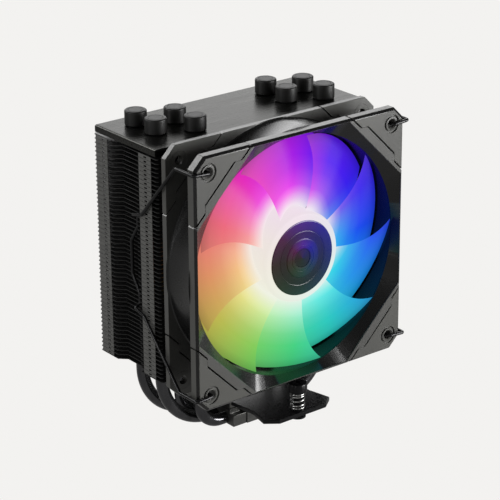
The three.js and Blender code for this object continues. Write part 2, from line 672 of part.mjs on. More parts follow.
// ---- wire clips ---------------------------------------------------------------------------
const CLIP_SIDE_X = 61.3;
const CLIP_HOOK_X = 58.3;
const CLIP_FACE_Y = -52.7;
const CLIP_PIN_END = -47.4;

// Half of one clip, from the hole at the fan's corner to the middle of the grip.
function clipHalf(sideSign, upSign) {
  const at = (x, y, z) => new THREE.Vector3(sideSign * x, y, FAN_Z + upSign * z);
  return [
    at(HOLE_OFFSET, CLIP_PIN_END, HOLE_OFFSET),
    at(HOLE_OFFSET, CLIP_FACE_Y, HOLE_OFFSET),
    at(CLIP_SIDE_X, CLIP_FACE_Y, HOLE_OFFSET + 0.6),
    at(CLIP_SIDE_X, -39.6, HOLE_OFFSET + 0.6),
    at(CLIP_SIDE_X, -13.6, 24.4),
    at(CLIP_SIDE_X, -6.6, 22.6),
    at(CLIP_HOOK_X, -6.6, 21.4),
    at(CLIP_HOOK_X, -6.6, 16.4),
    at(CLIP_HOOK_X, -1.2, 8.2),
  ];
}

// A spring wire from hole to hole, hooked into the tower's recess, with a finger grip.
function wireClip(sideSign) {
  const corners = [...clipHalf(sideSign, 1), ...clipHalf(sideSign, -1).reverse()];
  const radii = corners.slice(1, -1).map(() => 1.2);
  return tube(roundedRoute(corners, radii, 1), WIRE_RADIUS, 6);
}

const RUBBER_X = 50;
const RUBBER_WIDTH = 6;
const RUBBER_Z = [FIN_BOTTOM + 5, FIN_BOTTOM + 101];

// Soft strips on the fins' front edges, which the fan is pulled against.
const rubberStrip = (sign) => box(sign * RUBBER_X - RUBBER_WIDTH / 2,
  sign * RUBBER_X + RUBBER_WIDTH / 2, FAN_REAR + GAP, -TOWER_HALF_DEPTH - GAP, ...RUBBER_Z);

// ---- assembly -----------------------------------------------------------------------------
add('fin_stack', finStack(), BLACK_FIN);
add('top_cover', topCover(), COVER_METAL);
PIPES.forEach((pipe, i) => add(`heat_pipe_${i + 1}`, heatPipe(pipe), PIPE_METAL));
pipeLegs().forEach(([x, y], i) => add(`pipe_cap_${i + 1}`, pipeCap(x, y), CAP_METAL));
add('base_block', baseBlock(), BASE_METAL);
add('base_cover', baseCover(), BASE_METAL);
add('crossbar', crossbar(), BAR_PAINT);
for (const [end, sign] of [['front', -1], ['rear', 1]]) {
  add(`crossbar_screw_${end}`, crossbarScrew(sign * BAR_SCREW_Y), STEEL);
  add(`spring_screw_${end}`, springScrew(sign * SCREW_Y), BAR_PAINT);
  add(`screw_spring_${end}`, screwSpring(sign * SCREW_Y), STEEL);
  add(`screw_ring_${end}`, screwRing(sign * SCREW_Y), BAR_PAINT);
}
add('frame_front', frameFront(), FRAME_PLASTIC);
add('frame_duct', frameDuct(), FRAME_PLASTIC);
add('frame_rear', frameRear(), FRAME_PLASTIC);
add('motor_mount', motorMount(), FRAME_PLASTIC);
CORNERS.forEach((name, i) => {
  add(`front_pad_${name}`, cornerPad(i, ...FRONT_Y), PAD_RUBBER);
  add(`rear_pad_${name}`, cornerPad(i, ...REAR_Y), PAD_RUBBER);
});
add('impeller', impeller(), BLADE_PLASTIC);
add('hub_cap', hubCap(), HUB_PLASTIC);
add('rotor_yoke', rotorYoke(), STEEL);
add('magnet_ring', magnetRing(), MAGNET);
add('rotor_shaft', rotorShaft(), STEEL);
add('shaft_clip', shaftClip(), WHITE_NYLON);
add('bearing_tube', bearingTube(), BRONZE);
add('sleeve_bearing', sleeveBearing(), BRONZE);
add('bearing_cover', bearingCover(), PAD_RUBBER);
add('stator', stator(), COPPER);
add('circuit_board', circuitBoard(), BOARD);
for (const [side, sign] of [['left', -1], ['right', 1]]) {
  add(`wire_clip_${side}`, wireClip(sign), WIRE_STEEL);
  add(`rubber_strip_${side}`, rubberStrip(sign), PAD_RUBBER);
}

export default group;
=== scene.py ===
# %% [markdown]
# # A CPU tower cooler with a lit fan
#
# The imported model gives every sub-part its place and size. This script keeps those sizes and builds
# the fine surfaces over them: true fins, bevelled plates, swept pipes, a lit rotor. Each step says
# what the real piece is, how it could be made, and why this way was chosen.

# %% Load the fixed frame
import math

import bmesh
import bpy
from mathutils import Matrix, Vector


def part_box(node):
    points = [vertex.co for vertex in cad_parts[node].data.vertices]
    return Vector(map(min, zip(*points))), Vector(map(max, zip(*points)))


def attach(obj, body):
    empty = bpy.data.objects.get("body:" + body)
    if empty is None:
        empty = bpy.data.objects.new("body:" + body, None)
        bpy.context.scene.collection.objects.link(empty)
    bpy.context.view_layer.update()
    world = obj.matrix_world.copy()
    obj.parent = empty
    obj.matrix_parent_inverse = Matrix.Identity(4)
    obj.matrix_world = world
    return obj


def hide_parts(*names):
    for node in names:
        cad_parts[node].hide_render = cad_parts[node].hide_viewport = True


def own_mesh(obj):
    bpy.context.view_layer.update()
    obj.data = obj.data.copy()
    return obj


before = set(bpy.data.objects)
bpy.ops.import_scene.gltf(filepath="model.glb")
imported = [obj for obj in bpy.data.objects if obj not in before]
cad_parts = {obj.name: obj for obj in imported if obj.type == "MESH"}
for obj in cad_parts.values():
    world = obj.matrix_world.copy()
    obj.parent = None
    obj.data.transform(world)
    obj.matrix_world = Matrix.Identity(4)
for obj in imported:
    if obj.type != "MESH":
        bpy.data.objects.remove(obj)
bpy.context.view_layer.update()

MM = 0.001

# %% [markdown]
# ## Colours and nodes
#
# A colour read off a real surface is an sRGB value, and Blender's shaders work in linear light, so
# one function turns hex values to linear. A second small function adds a node with its settings and
# links. Every material below is built from those two, so each recipe stays short enough to read.

# %% Colour and node helpers
def linear(hex_colour):
    values = [int(hex_colour[i:i + 2], 16) / 255 for i in (1, 3, 5)]
    return [v / 12.92 if v <= 0.04045 else ((v + 0.055) / 1.055) ** 2.4 for v in values] + [1.0]


def add_node(tree, kind, settings=None, **inputs):
    """A node of that kind. An input is a value, or a (node, output) pair to link from."""
    node = tree.nodes.new(kind)
    for key, value in (settings or {}).items():
        setattr(node, key, value)
    for key, value in inputs.items():
        socket = node.inputs[int(key[1:])] if key[0] == "i" and key[1:].isdigit() else node.inputs[key]
        if isinstance(value, tuple) and isinstance(value[0], bpy.types.Node):
            tree.links.new(value[0].outputs[value[1]], socket)
        else:
            socket.default_value = value
    return node


def new_material(name, **shader_values):
    """A material of one Principled shader, with its uniform values set on the sockets."""
    material = bpy.data.materials.new(name)
    material.use_nodes = True
    shader = material.node_tree.nodes["Principled BSDF"]
    for key, value in shader_values.items():
        shader.inputs[key.replace("_", " ")].default_value = value
    return material, material.node_tree, shader


def object_place(tree, scale=(1, 1, 1)):
    """Places in the object's own metres, stretched by scale before a texture reads them."""
    place = add_node(tree, "ShaderNodeTexCoord")
    return add_node(tree, "ShaderNodeMapping", Vector=(place, "Object"), Scale=scale)


def set_ramp(node, stops):
    """Colour stops for a ramp: (position, linear colour)."""
    elements = node.color_ramp.elements
    elements.remove(elements[-1])
    elements[0].position, elements[0].color = stops[0]
    for position, colour in stops[1:]:
        elements.new(position).color = colour
    return node


def vary(tree, shader, source, output, low, high, socket="Base Color"):
    """Drives a shader socket between two colours or grey values by a texture."""
    ramp = add_node(tree, "ShaderNodeValToRGB", Fac=(source, output))
    set_ramp(ramp, [(0.3, low), (0.7, high)])
    tree.links.new(ramp.outputs["Color"], shader.inputs[socket])


def emboss(tree, shader, source, output, depth_mm, strength=1.0):
    """A fine relief, its depth in real millimetres."""
    bump = add_node(tree, "ShaderNodeBump", Height=(source, output), Strength=strength,
                    Distance=depth_mm * MM)
    tree.links.new(bump.outputs["Normal"], shader.inputs["Normal"])


def grey(value):
    return (value, value, value, 1)


# %% [markdown]
# ## Moulded plastic and rubber
#
# The fan's frame is glass-filled PBT, injection moulded in a spark-eroded tool, which leaves a fine
# matt grain of about 0.15 mm. The corner pads are silicone rubber, softer in sheen. Flat colour
# would look like paper: the grain breaks up the highlight, so it goes into roughness and relief.
# The grain is drawn at 0.4 mm, because the true grain is too fine to show.

# %% Moulded finishes
GRAIN_MM = 0.4


def grained(name, dark, light, roughness, depth_mm, grain_mm=GRAIN_MM, **values):
    material, tree, shader = new_material(name, **values)
    place = object_place(tree)
    grain = add_node(tree, "ShaderNodeTexNoise", Vector=(place, "Vector"), Scale=1 / (grain_mm * MM),
                     Detail=3.0)
    cloud = add_node(tree, "ShaderNodeTexNoise", Vector=(place, "Vector"), Scale=1 / (30 * MM),
                     Detail=4.0)
    vary(tree, shader, cloud, "Fac", linear(dark), linear(light))
    vary(tree, shader, grain, "Fac", grey(roughness - 0.06), grey(roughness + 0.06), "Roughness")
    emboss(tree, shader, grain, "Fac", depth_mm, 0.35)
    return material


PBT = grained("pbt_moulded_matt_black", "#383836", "#3f3f3d", 0.32, 0.03, IOR=1.57)
# A near-black, glossier copy of the same plastic. Its dark colour is painted shade: it goes on the
# chamfers, the mouth's lip, funnel and bore, and the duct, where the moulding lies in shade or mirrors
# the dark.
PBT_SHADED_GLOSS = grained("pbt_moulded_polished_painted_shade", "#070707", "#0c0c0c", 0.26, 0.005, IOR=1.57,
                   Specular_IOR_Level=0.4)
SILICONE = grained("silicone_rubber_matt_grey", "#3b3b39", "#42423f", 0.34, 0.03, IOR=1.5)
print("moulded finishes:", PBT.name, PBT_SHADED_GLOSS.name, SILICONE.name)

# %% [markdown]
# ## Anodised, brushed and plated metal
#
# The fins are aluminium sheet, black anodised. The top cover is brushed along its length before it
# is anodised dark, so its highlights streak along X. A brushed line is about 0.1 mm wide, and it is
# drawn 0.5 mm wide so that it shows. The pipes are copper under black nickel: smooth and glossy. The
# base is milled, with a feed line every 0.3 mm. The metals keep the shader's own IOR.

# %% Metal finishes
def streaked(name, dark, light, roughness, spread, across_mm, along_mm, axis, depth_mm, **values):
    """A metal whose fine lines run along one axis: brushed, rolled or milled."""
    material, tree, shader = new_material(name, **values)
    scale = [1 / (across_mm * MM)] * 3
    scale[axis] = 1 / (along_mm * MM)
    place = object_place(tree, scale)
    lines = add_node(tree, "ShaderNodeTexNoise", Vector=(place, "Vector"), Scale=1.0, Detail=2.0)
    vary(tree, shader, lines, "Fac", linear(dark), linear(light))
    vary(tree, shader, lines, "Fac", grey(roughness - spread), grey(roughness + spread), "Roughness")
    emboss(tree, shader, lines, "Fac", depth_mm, 0.3)
    return material


FIN_BLACK = streaked("aluminium_rolled_black_anodised", "#262626", "#303030", 0.38, 0.06, 1.0, 12, 0,
                     0.004, Metallic=0.7)
# The tabs are the fins' own black sheet, made a lighter grey: painted light on the side strips.
TAB_PAINTED_LIGHT = streaked("aluminium_pressed_black_anodised_painted_light", "#5a5a58", "#666664", 0.42, 0.06, 1.0, 6, 1,
                     0.004, Metallic=0.6)
COVER_BRUSHED = streaked("aluminium_brushed_dark_anodised", "#343432", "#3e3e3c", 0.3, 0.06, 0.5, 40,
                         0, 0.006, Metallic=0.9, Specular_Tint=grey(0.72))
BLACK_NICKEL = streaked("copper_black_nickel_plated", "#48484a", "#545456", 0.18, 0.05, 3.0, 30, 2,
                        0.004, Metallic=0.9)
MILLED = streaked("aluminium_milled_grey", "#4c4c4a", "#5a5a58", 0.34, 0.05, 0.3, 20, 0, 0.006,
                  Metallic=0.85)
ZINC = streaked("steel_zinc_plated", "#8c8c8a", "#a2a2a0", 0.3, 0.08, 0.5, 4, 2, 0.004, Metallic=1.0)
PRESSED_STEEL = streaked("steel_pressed_bare", "#6e6e6c", "#888886", 0.36, 0.08, 0.6, 6, 1, 0.006,
                         Metallic=1.0)
BRONZE = grained("bronze_sintered_oiled", "#8a6a3c", "#a88450", 0.42, 0.02, Metallic=1.0)
WIRE_BLACK = grained("spring_steel_black_oxide", "#101011", "#1c1c1d", 0.3, 0.01, Metallic=0.6)
BAR_BLACK = grained("steel_satin_black_paint", "#080809", "#0e0e0f", 0.3, 0.015, Specular_IOR_Level=0.2)
CAP_BLACK = grained("aluminium_turned_matt_black", "#0b0b0a", "#121211", 0.46, 0.01, Metallic=0.1,
                    Specular_IOR_Level=0.3)
print("metal finishes:", FIN_BLACK.name, COVER_BRUSHED.name, BLACK_NICKEL.name, MILLED.name)

# %% [markdown]
# ## The light in the rotor
#
# The blades and the hub are frosted polycarbonate. Coloured diodes stand in a ring round the motor
# and light the rotor from within: white where they sit, then one hue for each direction, fading a
# little towards the tips. A lamp behind clear plastic would be slow and noisy to trace, so the glow
# is emission. Its hue comes from the angle round the fan's axis, in a pale wheel near the hub that
# passes into a deep one outside. The plastic's own shine is low, so that the glow keeps its colour.

# %% Lit polycarbonate
fan_low, fan_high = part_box("frame_front")
FAN_AXIS_Z = (fan_low.z + fan_high.z) / 2
HUB_RADIUS = 21.3
TIP_RADIUS = 56.2

INNER_HUES = ["#40b4ec", "#7868ea", "#c060ec", "#f244ec", "#f056e0", "#f29c9e",
              "#f2c482", "#eae48c", "#c8f0a8", "#a8f0d0", "#70f0e8", "#34e0e6"]
OUTER_HUES = ["#1e4cee", "#3a20ea", "#5c1eee", "#b020de", "#e22cba", "#e6586e",
              "#d88a58", "#bab448", "#78cc58", "#42d080", "#26c8be", "#1c92e6"]


def polar(tree):
    """The angle round the fan's axis as 0 to 1 from +X upwards, and the radius in millimetres."""
    place = add_node(tree, "ShaderNodeTexCoord")
    moved = add_node(tree, "ShaderNodeVectorMath", {"operation": "SUBTRACT"}, i0=(place, "Object"),
                     i1=(0, 0, FAN_AXIS_Z))
    parts = add_node(tree, "ShaderNodeSeparateXYZ", Vector=(moved, "Vector"))
    angle = add_node(tree, "ShaderNodeMath", {"operation": "ARCTAN2"}, i0=(parts, "Z"), i1=(parts, "X"))
    turn = add_node(tree, "ShaderNodeMath", {"operation": "DIVIDE"}, i0=(angle, 0), i1=2 * math.pi)
    wrapped = add_node(tree, "ShaderNodeMath", {"operation": "WRAP"}, i0=(turn, 0), i1=1.0, i2=0.0)
    flat = add_node(tree, "ShaderNodeCombineXYZ", X=(parts, "X"), Y=(parts, "Z"))
    radius = add_node(tree, "ShaderNodeVectorMath", {"operation": "LENGTH"}, i0=(flat, "Vector"))
    in_mm = add_node(tree, "ShaderNodeMath", {"operation": "DIVIDE"}, i0=(radius, "Value"), i1=MM)
    return wrapped, in_mm


def hue_wheel(tree, angle, hues):
    wheel = add_node(tree, "ShaderNodeValToRGB", Fac=(angle, 0))
    stops = [(i / len(hues), linear(hue)) for i, hue in enumerate(hues)] + [(1.0, linear(hues[0]))]
    return set_ramp(wheel, stops)


def by_radius(tree, radius, stops):
    """A grey value that follows the radius: (millimetres, value)."""
    share = add_node(tree, "ShaderNodeMath", {"operation": "DIVIDE"}, i0=(radius, 0), i1=TIP_RADIUS)
    ramp = add_node(tree, "ShaderNodeValToRGB", Fac=(share, 0))
    return set_ramp(ramp, [(min(mm / TIP_RADIUS, 1), grey(value)) for mm, value in stops])


def lit_plastic(name, white_stops, deep_stops, power_stops, base):
    """Frosted plastic lit from within. Whiteness, depth of hue and power follow the radius."""
    material, tree, shader = new_material(name, Base_Color=linear(base), Roughness=0.6, IOR=1.58,
                                          Specular_IOR_Level=0.12)
    angle, radius = polar(tree)
    deep = by_radius(tree, radius, deep_stops)
    wheel = add_node(tree, "ShaderNodeMix", {"data_type": "RGBA"}, i0=(deep, "Color"),
                     i6=(hue_wheel(tree, angle, INNER_HUES), "Color"),
                     i7=(hue_wheel(tree, angle, OUTER_HUES), "Color"))
    white = by_radius(tree, radius, white_stops)
    power = by_radius(tree, radius, power_stops)
    pale = add_node(tree, "ShaderNodeMix", {"data_type": "RGBA"}, i0=(white, "Color"),
                    i6=(wheel, 2), i7=linear("#f8f8f2"))
    glow = add_node(tree, "ShaderNodeMix", {"data_type": "RGBA", "blend_type": "MULTIPLY"}, i0=1.0,
                    i6=(pale, 2), i7=(power, "Color"))
    frost = add_node(tree, "ShaderNodeTexNoise", Vector=(object_place(tree), "Vector"),
                     Scale=1 / (0.8 * MM), Detail=2.0)
    emboss(tree, shader, frost, "Fac", 0.02, 0.2)
    tree.links.new(glow.outputs[2], shader.inputs["Emission Color"])
    shader.inputs["Emission Strength"].default_value = 1.0
    return material


BLADE_LIT = lit_plastic("polycarbonate_frosted_lit",
                        [(20, 0.9), (22, 0.8), (25, 0.45), (28, 0.14), (31, 0.0)],
                        [(28, 0.0), (34, 0.45), (39, 0.8), (45, 1.0)],
                        [(20, 0.95), (30, 1.0), (46, 1.0), (52, 0.85), (56, 0.6)], "#060608")
HUB_LIT = lit_plastic("polycarbonate_frosted_lit_hub", [(17, 0.85), (22, 0.85)], [(17, 0.0), (22, 0.0)],
                      [(17, 0.9), (22, 0.9)], "#101014")
print("hues round the axis:", len(OUTER_HUES), "axis height in mm:", round(FAN_AXIS_Z / MM, 1))

# %% [markdown]
# ## Meshes from outlines
#
# Most pieces are plates, turned parts or bent rods. A plate could be a curve with a fill, but a mesh
# made point by point stays closed and exact, so three helpers cover nearly everything: `loft` joins
# loops of points, `turned` revolves a profile, and `swept` carries a round section along a path.

# %% Mesh helpers
def to_object(name, bm, *materials):
    bmesh.ops.recalc_face_normals(bm, faces=bm.faces)
    mesh = bpy.data.meshes.new(name)
    bm.to_mesh(mesh)
    bm.free()
    obj = bpy.data.objects.new(name, mesh)
    bpy.context.scene.collection.objects.link(obj)
    for material in materials:
        mesh.materials.append(material)
    return obj


def loft(bm, loops, closed_ring=False, caps=True):
    """Joins loops of equal length. Caps close both ends, or the last loop joins the first."""
    rings = [[bm.verts.new(Vector(p) * MM) for p in loop] for loop in loops]
    pairs = list(zip(rings, rings[1:])) + ([(rings[-1], rings[0])] if closed_ring else [])
    for lower, upper in pairs:
        for i in range(len(lower)):
            k = (i + 1) % len(lower)
            bm.faces.new((lower[i], lower[k], upper[k], upper[i]))
    if caps and not closed_ring:
        bm.faces.new(rings[0])
        bm.faces.new(rings[-1])
    return rings


def circle(radius, sides, phase=0.0):
    steps = [2 * math.pi * i / sides + phase for i in range(sides)]
    return [(radius * math.cos(a), radius * math.sin(a)) for a in steps]


def turned(bm, profile, place, sides=64, solid=True):
    """Revolves (radius, height) points. A solid's ends are capped, a ring's profile closes."""
    loops = [[place(x, y, h) for x, y in circle(r, sides)] for r, h in profile]
    return loft(bm, loops, closed_ring=not solid, caps=solid)


def upright(x0, y0):
    return lambda x, y, h: (x0 + x, y0 + y, h)


FAN_Z = FAN_AXIS_Z / MM


def on_fan(x, y, h):
    """Turned about the fan's axis: h runs from front to rear."""
    return (x, h, FAN_Z + y)


def shade(obj, angle_deg=32):
    """Smooth shading, with sharp edges kept where faces meet at more than the angle."""
    obj.data.shade_smooth()
    obj.data.set_sharp_from_angle(angle=math.radians(angle_deg))
    return obj


def finished(obj, body, slot, *nodes, angle_deg=32):
    """Shades a piece, lets it ride on its body and stand for its CAD nodes."""
    obj.name = nodes[0] + "_fine"
    shade(obj, angle_deg)
    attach(obj, body)
    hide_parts(*nodes)
    return obj


# %% [markdown]
# A cut or a join of two closed meshes is a Boolean. The modifier keeps working after each later
# change, but here the result is wanted as a plain mesh, so the helper takes the evaluated mesh and
# drops the tool. A thin bevel follows, because no moulded or machined edge is perfectly sharp.

# %% Boolean and edge helpers
CRISP = 20   # degrees: below a bevel's own steps, so no bevel bends the shading of the face beside it


def evaluated(obj):
    """Replaces an object's mesh by what its modifiers make of it."""
    graph = bpy.context.evaluated_depsgraph_get()
    mesh = bpy.data.meshes.new_from_object(obj.evaluated_get(graph))
    obj.modifiers.clear()
    obj.data = mesh
    return obj


def carve(obj, tool, operation="DIFFERENCE"):
    """Cuts an object by a closed tool, or joins it on, and drops the tool."""
    modifier = obj.modifiers.new("cut", "BOOLEAN")
    modifier.operation = operation
    modifier.object = tool
    modifier.solver = "EXACT"
    evaluated(obj)
    bpy.data.objects.remove(tool)
    return obj


def soften(obj, width_mm, segments=2, angle_deg=35):
    """Rounds the sharp edges by a real width."""
    modifier = obj.modifiers.new("edge", "BEVEL")
    modifier.width = width_mm * MM
    modifier.segments = segments
    modifier.limit_method = "ANGLE"
    modifier.angle_limit = math.radians(angle_deg)
    modifier.use_clamp_overlap = True
    return evaluated(obj)


def join_into(target, *others):
    """Adds other objects' meshes to the target's, keeping their materials."""
    with bpy.context.temp_override(active_object=target, selected_editable_objects=[target, *others]):
        bpy.ops.object.join()
    return target


def plate(name, outline, place, h0, h1, *materials):
    """A closed prism: an outline of (x, y) points placed at two heights."""
    bm = bmesh.new()
    loft(bm, [[place(x, y, h) for x, y in outline] for h in (h0, h1)])
    return to_object(name, bm, *materials)


# %% [markdown]
# ## The camera
#
# The cooler is seen from its front left, a little from above, through a long lens, so parallel edges
# stay nearly parallel. The camera's place is worked out from its direction and distance, and it is
# moved a few millimetres sideways in its own plane so that the cooler sits in the picture as it should.

# %% Camera
AZIMUTH, ELEVATION, ROLL = (math.radians(a) for a in (-38.14, 21.62, -0.40))
DISTANCE = 983.53 * MM
TARGET = Vector((0, 0, 79.7)) * MM
LENS = 150.49

camera = bpy.data.objects.new("camera", bpy.data.cameras.new("camera"))
bpy.context.scene.collection.objects.link(camera)
back = Vector((math.sin(AZIMUTH) * math.cos(ELEVATION), -math.cos(AZIMUTH) * math.cos(ELEVATION),
               math.sin(ELEVATION)))
level = Vector((math.cos(AZIMUTH), math.sin(AZIMUTH), 0))
right = level * math.cos(ROLL) + back.cross(level) * math.sin(ROLL)
up = back.cross(right)
turn = Matrix((right, up, back)).transposed().to_4x4()
spot = TARGET + back * DISTANCE + right * 8.06 * MM + up * 1.09 * MM
camera.matrix_world = Matrix.Translation(spot) @ turn
camera.data.lens = LENS
camera.data.sensor_width = 36
camera.data.clip_start = 0.05
bpy.context.scene.camera = camera
print("camera stands at mm:", [round(v / MM) for v in spot])

# %% [markdown]
# ## The fan's frame and its corner pads
#
# The frame is one moulding: two square flanges joined by a round duct, with four struts behind that
# carry the motor. Soft pads slip over the flange's corners. Frame and pads share one chamfered block,
# so they are cut from the same plate: where a pad's outline runs, the plate is split with a hair-thin
# seam. That way the chamfer runs true across both, as it does on the real fan.

# %% Flange plates
front_low, front_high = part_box("frame_front")
rear_low, rear_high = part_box("frame_rear")
FAN_HALF = 60.0
FAN_CORNER = 5.6
CHAMFER = 1.1
SEAM = 0.7
EASE = 0.25
MOUTH_FLAT, MOUTH_CORNER, MOUTH_LIP, MOUTH_DEPTH = 58.7, 27.0, 0.5, 4.4
SHADED_BANDS = (1, 4, 5, 6)   # of the flange's loops, near-black as painted shade: the chamfer, the lip, the funnel and the bore
DUCT_INNER, DUCT_OUTER = 57.2, 59.4
HOLE_OFFSET, HOLE_RADIUS = 52.5, 2.15
PAD_LEG, PAD_LIP, PAD_NOTCH, PAD_STEP = 29.0, 2.5, 5.7, 3.8


def cut_square(half, corner):
    inner = half - corner
    return [(inner, -half), (half, -inner), (half, inner), (inner, half),
            (-inner, half), (-half, inner), (-half, -inner), (-inner, -half)]


def shade_chamfer_dark(obj):
    """The wide slanted faces take the second material: polished, and near-black as painted shade."""
    for face in obj.data.polygons:
        if 0.3 < abs(face.normal.y) < 0.95:
            face.material_index = 1
    return obj


def chamfered_flange(name, h0, h1, chamfer_front):
    """The whole square plate, chamfered on its outward side."""
    wide = cut_square(FAN_HALF, FAN_CORNER)
    small = cut_square(FAN_HALF - CHAMFER, FAN_CORNER - CHAMFER * 0.4)
    bm = bmesh.new()
    if chamfer_front:
        stations = [(small, h0), (wide, h0 + CHAMFER), (wide, h1)]
    else:
        stations = [(wide, h0), (wide, h1 - CHAMFER), (small, h1)]
    loft(bm, [[on_fan(x, y, h) for x, y in outline] for outline, h in stations])
    return shade_chamfer_dark(to_object(name, bm, PBT, PBT_SHADED_GLOSS))


def pad_outline(grow):
    """The upper right pad's seam: a slanted lip, a notch round the frame's tab, and back."""
    far = FAN_HALF + 5
    leg = PAD_LEG - grow
    notch = FAN_HALF - PAD_NOTCH
    return [(leg + FAN_HALF - far, far), (leg + PAD_LIP, FAN_HALF - PAD_LIP), (leg + PAD_NOTCH, notch),
            (leg + PAD_NOTCH + PAD_STEP, notch), (notch, leg + PAD_NOTCH + PAD_STEP),
            (notch, leg + PAD_NOTCH), (FAN_HALF - PAD_LIP, leg + PAD_LIP), (far, leg + FAN_HALF - far),
            (far, far)]


def quarter_turned(points, corner):
    c, s = [(1, 0), (0, 1), (-1, 0), (0, -1)][corner]
    return [(x * c - y * s, x * s + y * c) for x, y in points]


CORNERS = ["top_right", "top_left", "bottom_left", "bottom_right"]
print("flange front in mm:", round(front_low.y / MM, 2), "to", round(front_high.y / MM, 2))

# %% [markdown]
# A pad is the flange plate's corner. Its fixing hole stands in a shallow ring groove, turned here as
# a bush that drops into a round opening. The hole and groove are real geometry, because the clip's
# wire ends inside it and the dark ring is what the eye finds first on the pad.

# %% Corner pads
GROOVE_OUTER, GROOVE_INNER, GROOVE_DEPTH = 4.3, 3.5, 0.7


def pad_bush(corner, h0, h1, groove_front):
    """The ring round the fixing hole, with its groove on the outward face."""
    x0, y0 = quarter_turned([(HOLE_OFFSET, HOLE_OFFSET)], corner)[0]
    outer = GROOVE_OUTER + 0.02
    face, inward = (h0, 1) if groove_front else (h1, -1)
    other = h1 if groove_front else h0
    profile = [(outer, face + inward * GROOVE_DEPTH), (GROOVE_INNER, face + inward * GROOVE_DEPTH),
               (GROOVE_INNER - 0.15, face + inward * 0.05), (HOLE_RADIUS + 0.5, face),
               (HOLE_RADIUS, face + inward * 0.5), (HOLE_RADIUS, other), (outer, other)]
    bm = bmesh.new()
    turned(bm, profile, lambda x, y, h: on_fan(x0 + x, y0 + y, h), 40, solid=False)
    return to_object("bush", bm, SILICONE, PBT_SHADED_GLOSS)


def corner_pad(end, corner, h0, h1):
    name = f"{end}_pad_{CORNERS[corner]}"
    pad = chamfered_flange(name, h0, h1, end == "front")
    pad.data.materials[0] = SILICONE
    place = plate("tool", quarter_turned(pad_outline(0), corner), on_fan, h0 - 1, h1 + 1)
    carve(pad, place, "INTERSECT")
    x0, y0 = quarter_turned([(HOLE_OFFSET, HOLE_OFFSET)], corner)[0]
    hole = [(x0 + x, y0 + y) for x, y in circle(GROOVE_OUTER, 40)]
    carve(pad, plate("tool", hole, on_fan, h0 - 1, h1 + 1))
    soften(pad, 0.15, 1)
    join_into(pad, pad_bush(corner, h0, h1, end == "front"))
    return finished(pad, "cooler", "pad_rubber", name, angle_deg=CRISP)


FRONT_SPAN = (front_low.y / MM, front_high.y / MM)
REAR_SPAN = (rear_low.y / MM, rear_high.y / MM)
for corner_index in range(4):
    corner_pad("front", corner_index, *FRONT_SPAN)
    corner_pad("rear", corner_index, *REAR_SPAN)
print("pads made:", 2 * len(CORNERS))

# %% [markdown]
# The flange itself is the same plate with the four pads taken out and the mouth cut through: an
# octagon in front, so that the fan draws air from its corners too, and a round bore behind it. A
# polished funnel leads from one to the other, and its corners mirror the lit blades. The chamfer, the
# lip, the funnel, the bore and the duct take the near-black glossy copy of the plastic: painted shade.

# %% Flanges, duct, struts and motor mount
STRUT_WIDTH, STRUT_DEPTH, STRUT_OFFSET, STRUT_ANGLE = 4.4, 2.8, 7.0, math.pi / 5
STRUT_SET_BACK, STRUT_INSET = 4.0, 0.7
STRUT_ROOT, STRUT_BITE = 3.0, 0.8   # how far a strut reaches into the mount and into the duct's wall
BORE_SIDES, REAR_LIP, DUCT_ROOT = 128, 1.0, 1.2
MOUNT_RADIUS, SEAT_RADIUS = 20.5, 4.4


def reach(outline, angle):
    """How far an outline lies from the axis in one direction."""
    c, s = math.cos(angle), math.sin(angle)
    found = []
    for (x0, y0), (x1, y1) in zip(outline, outline[1:] + outline[:1]):
        side0, side1 = c * y0 - s * x0, c * y1 - s * x1
        if side0 * side1 <= 0 and side0 != side1:
            share = side0 / (side0 - side1)
            found.append((x0 + (x1 - x0) * share) * c + (y0 + (y1 - y0) * share) * s)
    return max(found)


def without_pads(grow):
    """The frame's own outline, which runs past the square between the pads."""
    seam = list(reversed(pad_outline(grow)[:-1]))
    return [point for corner in range(4) for point in quarter_turned(seam, corner)]


def flange(name, span, front):
    """A ring of quads between the outer outline and the opening, from loops at shared angles."""
    outer, inward = (span[1], -1) if not front else (span[0], 1)
    far = span[0] if not front else span[1]
    square = cut_square(FAN_HALF, FAN_CORNER)
    small = cut_square(FAN_HALF - CHAMFER, FAN_CORNER - CHAMFER * 0.4)
    own, eased = without_pads(SEAM), without_pads(SEAM + EASE)
    bore = circle(DUCT_INNER, BORE_SIDES)
    mouth = cut_square(MOUTH_FLAT, MOUTH_FLAT - MOUTH_CORNER) if front else bore
    depth = MOUTH_DEPTH if front else REAR_LIP
    leg = PAD_LEG - SEAM
    meets = [(leg, FAN_HALF), (FAN_HALF, leg), (leg + CHAMFER, FAN_HALF - CHAMFER),
             (FAN_HALF - CHAMFER, leg + CHAMFER)]
    corners = square + small + own + [p for k in range(4) for p in quarter_turned(meets, k)]
    corners += mouth + bore
    angles = sorted({round(math.atan2(y, x) % (2 * math.pi), 6) for x, y in corners})

    def ring(h, *outlines, shift=0.0):
        spans = [(a, min(reach(outline, a) for outline in outlines) + shift) for a in angles]
        return [on_fan(r * math.cos(a), r * math.sin(a), h) for a, r in spans]

    bm = bmesh.new()
    loft(bm, [ring(far, square, own), ring(outer + inward * CHAMFER, square, own),
              ring(outer, small, eased), ring(outer, mouth, shift=EASE),
              ring(outer + inward * EASE, mouth), ring(outer + inward * MOUTH_LIP, mouth),
              ring(outer + inward * depth, bore), ring(far, bore)], closed_ring=True)
    # The chamfer, lip, funnel and bore bands take the near-black glossy copy: painted shade.
    bm.faces.ensure_lookup_table()
    for index, face in enumerate(bm.faces):
        face.material_index = 1 if index // len(angles) in SHADED_BANDS else 0
    return to_object(name, bm, PBT, PBT_SHADED_GLOSS)


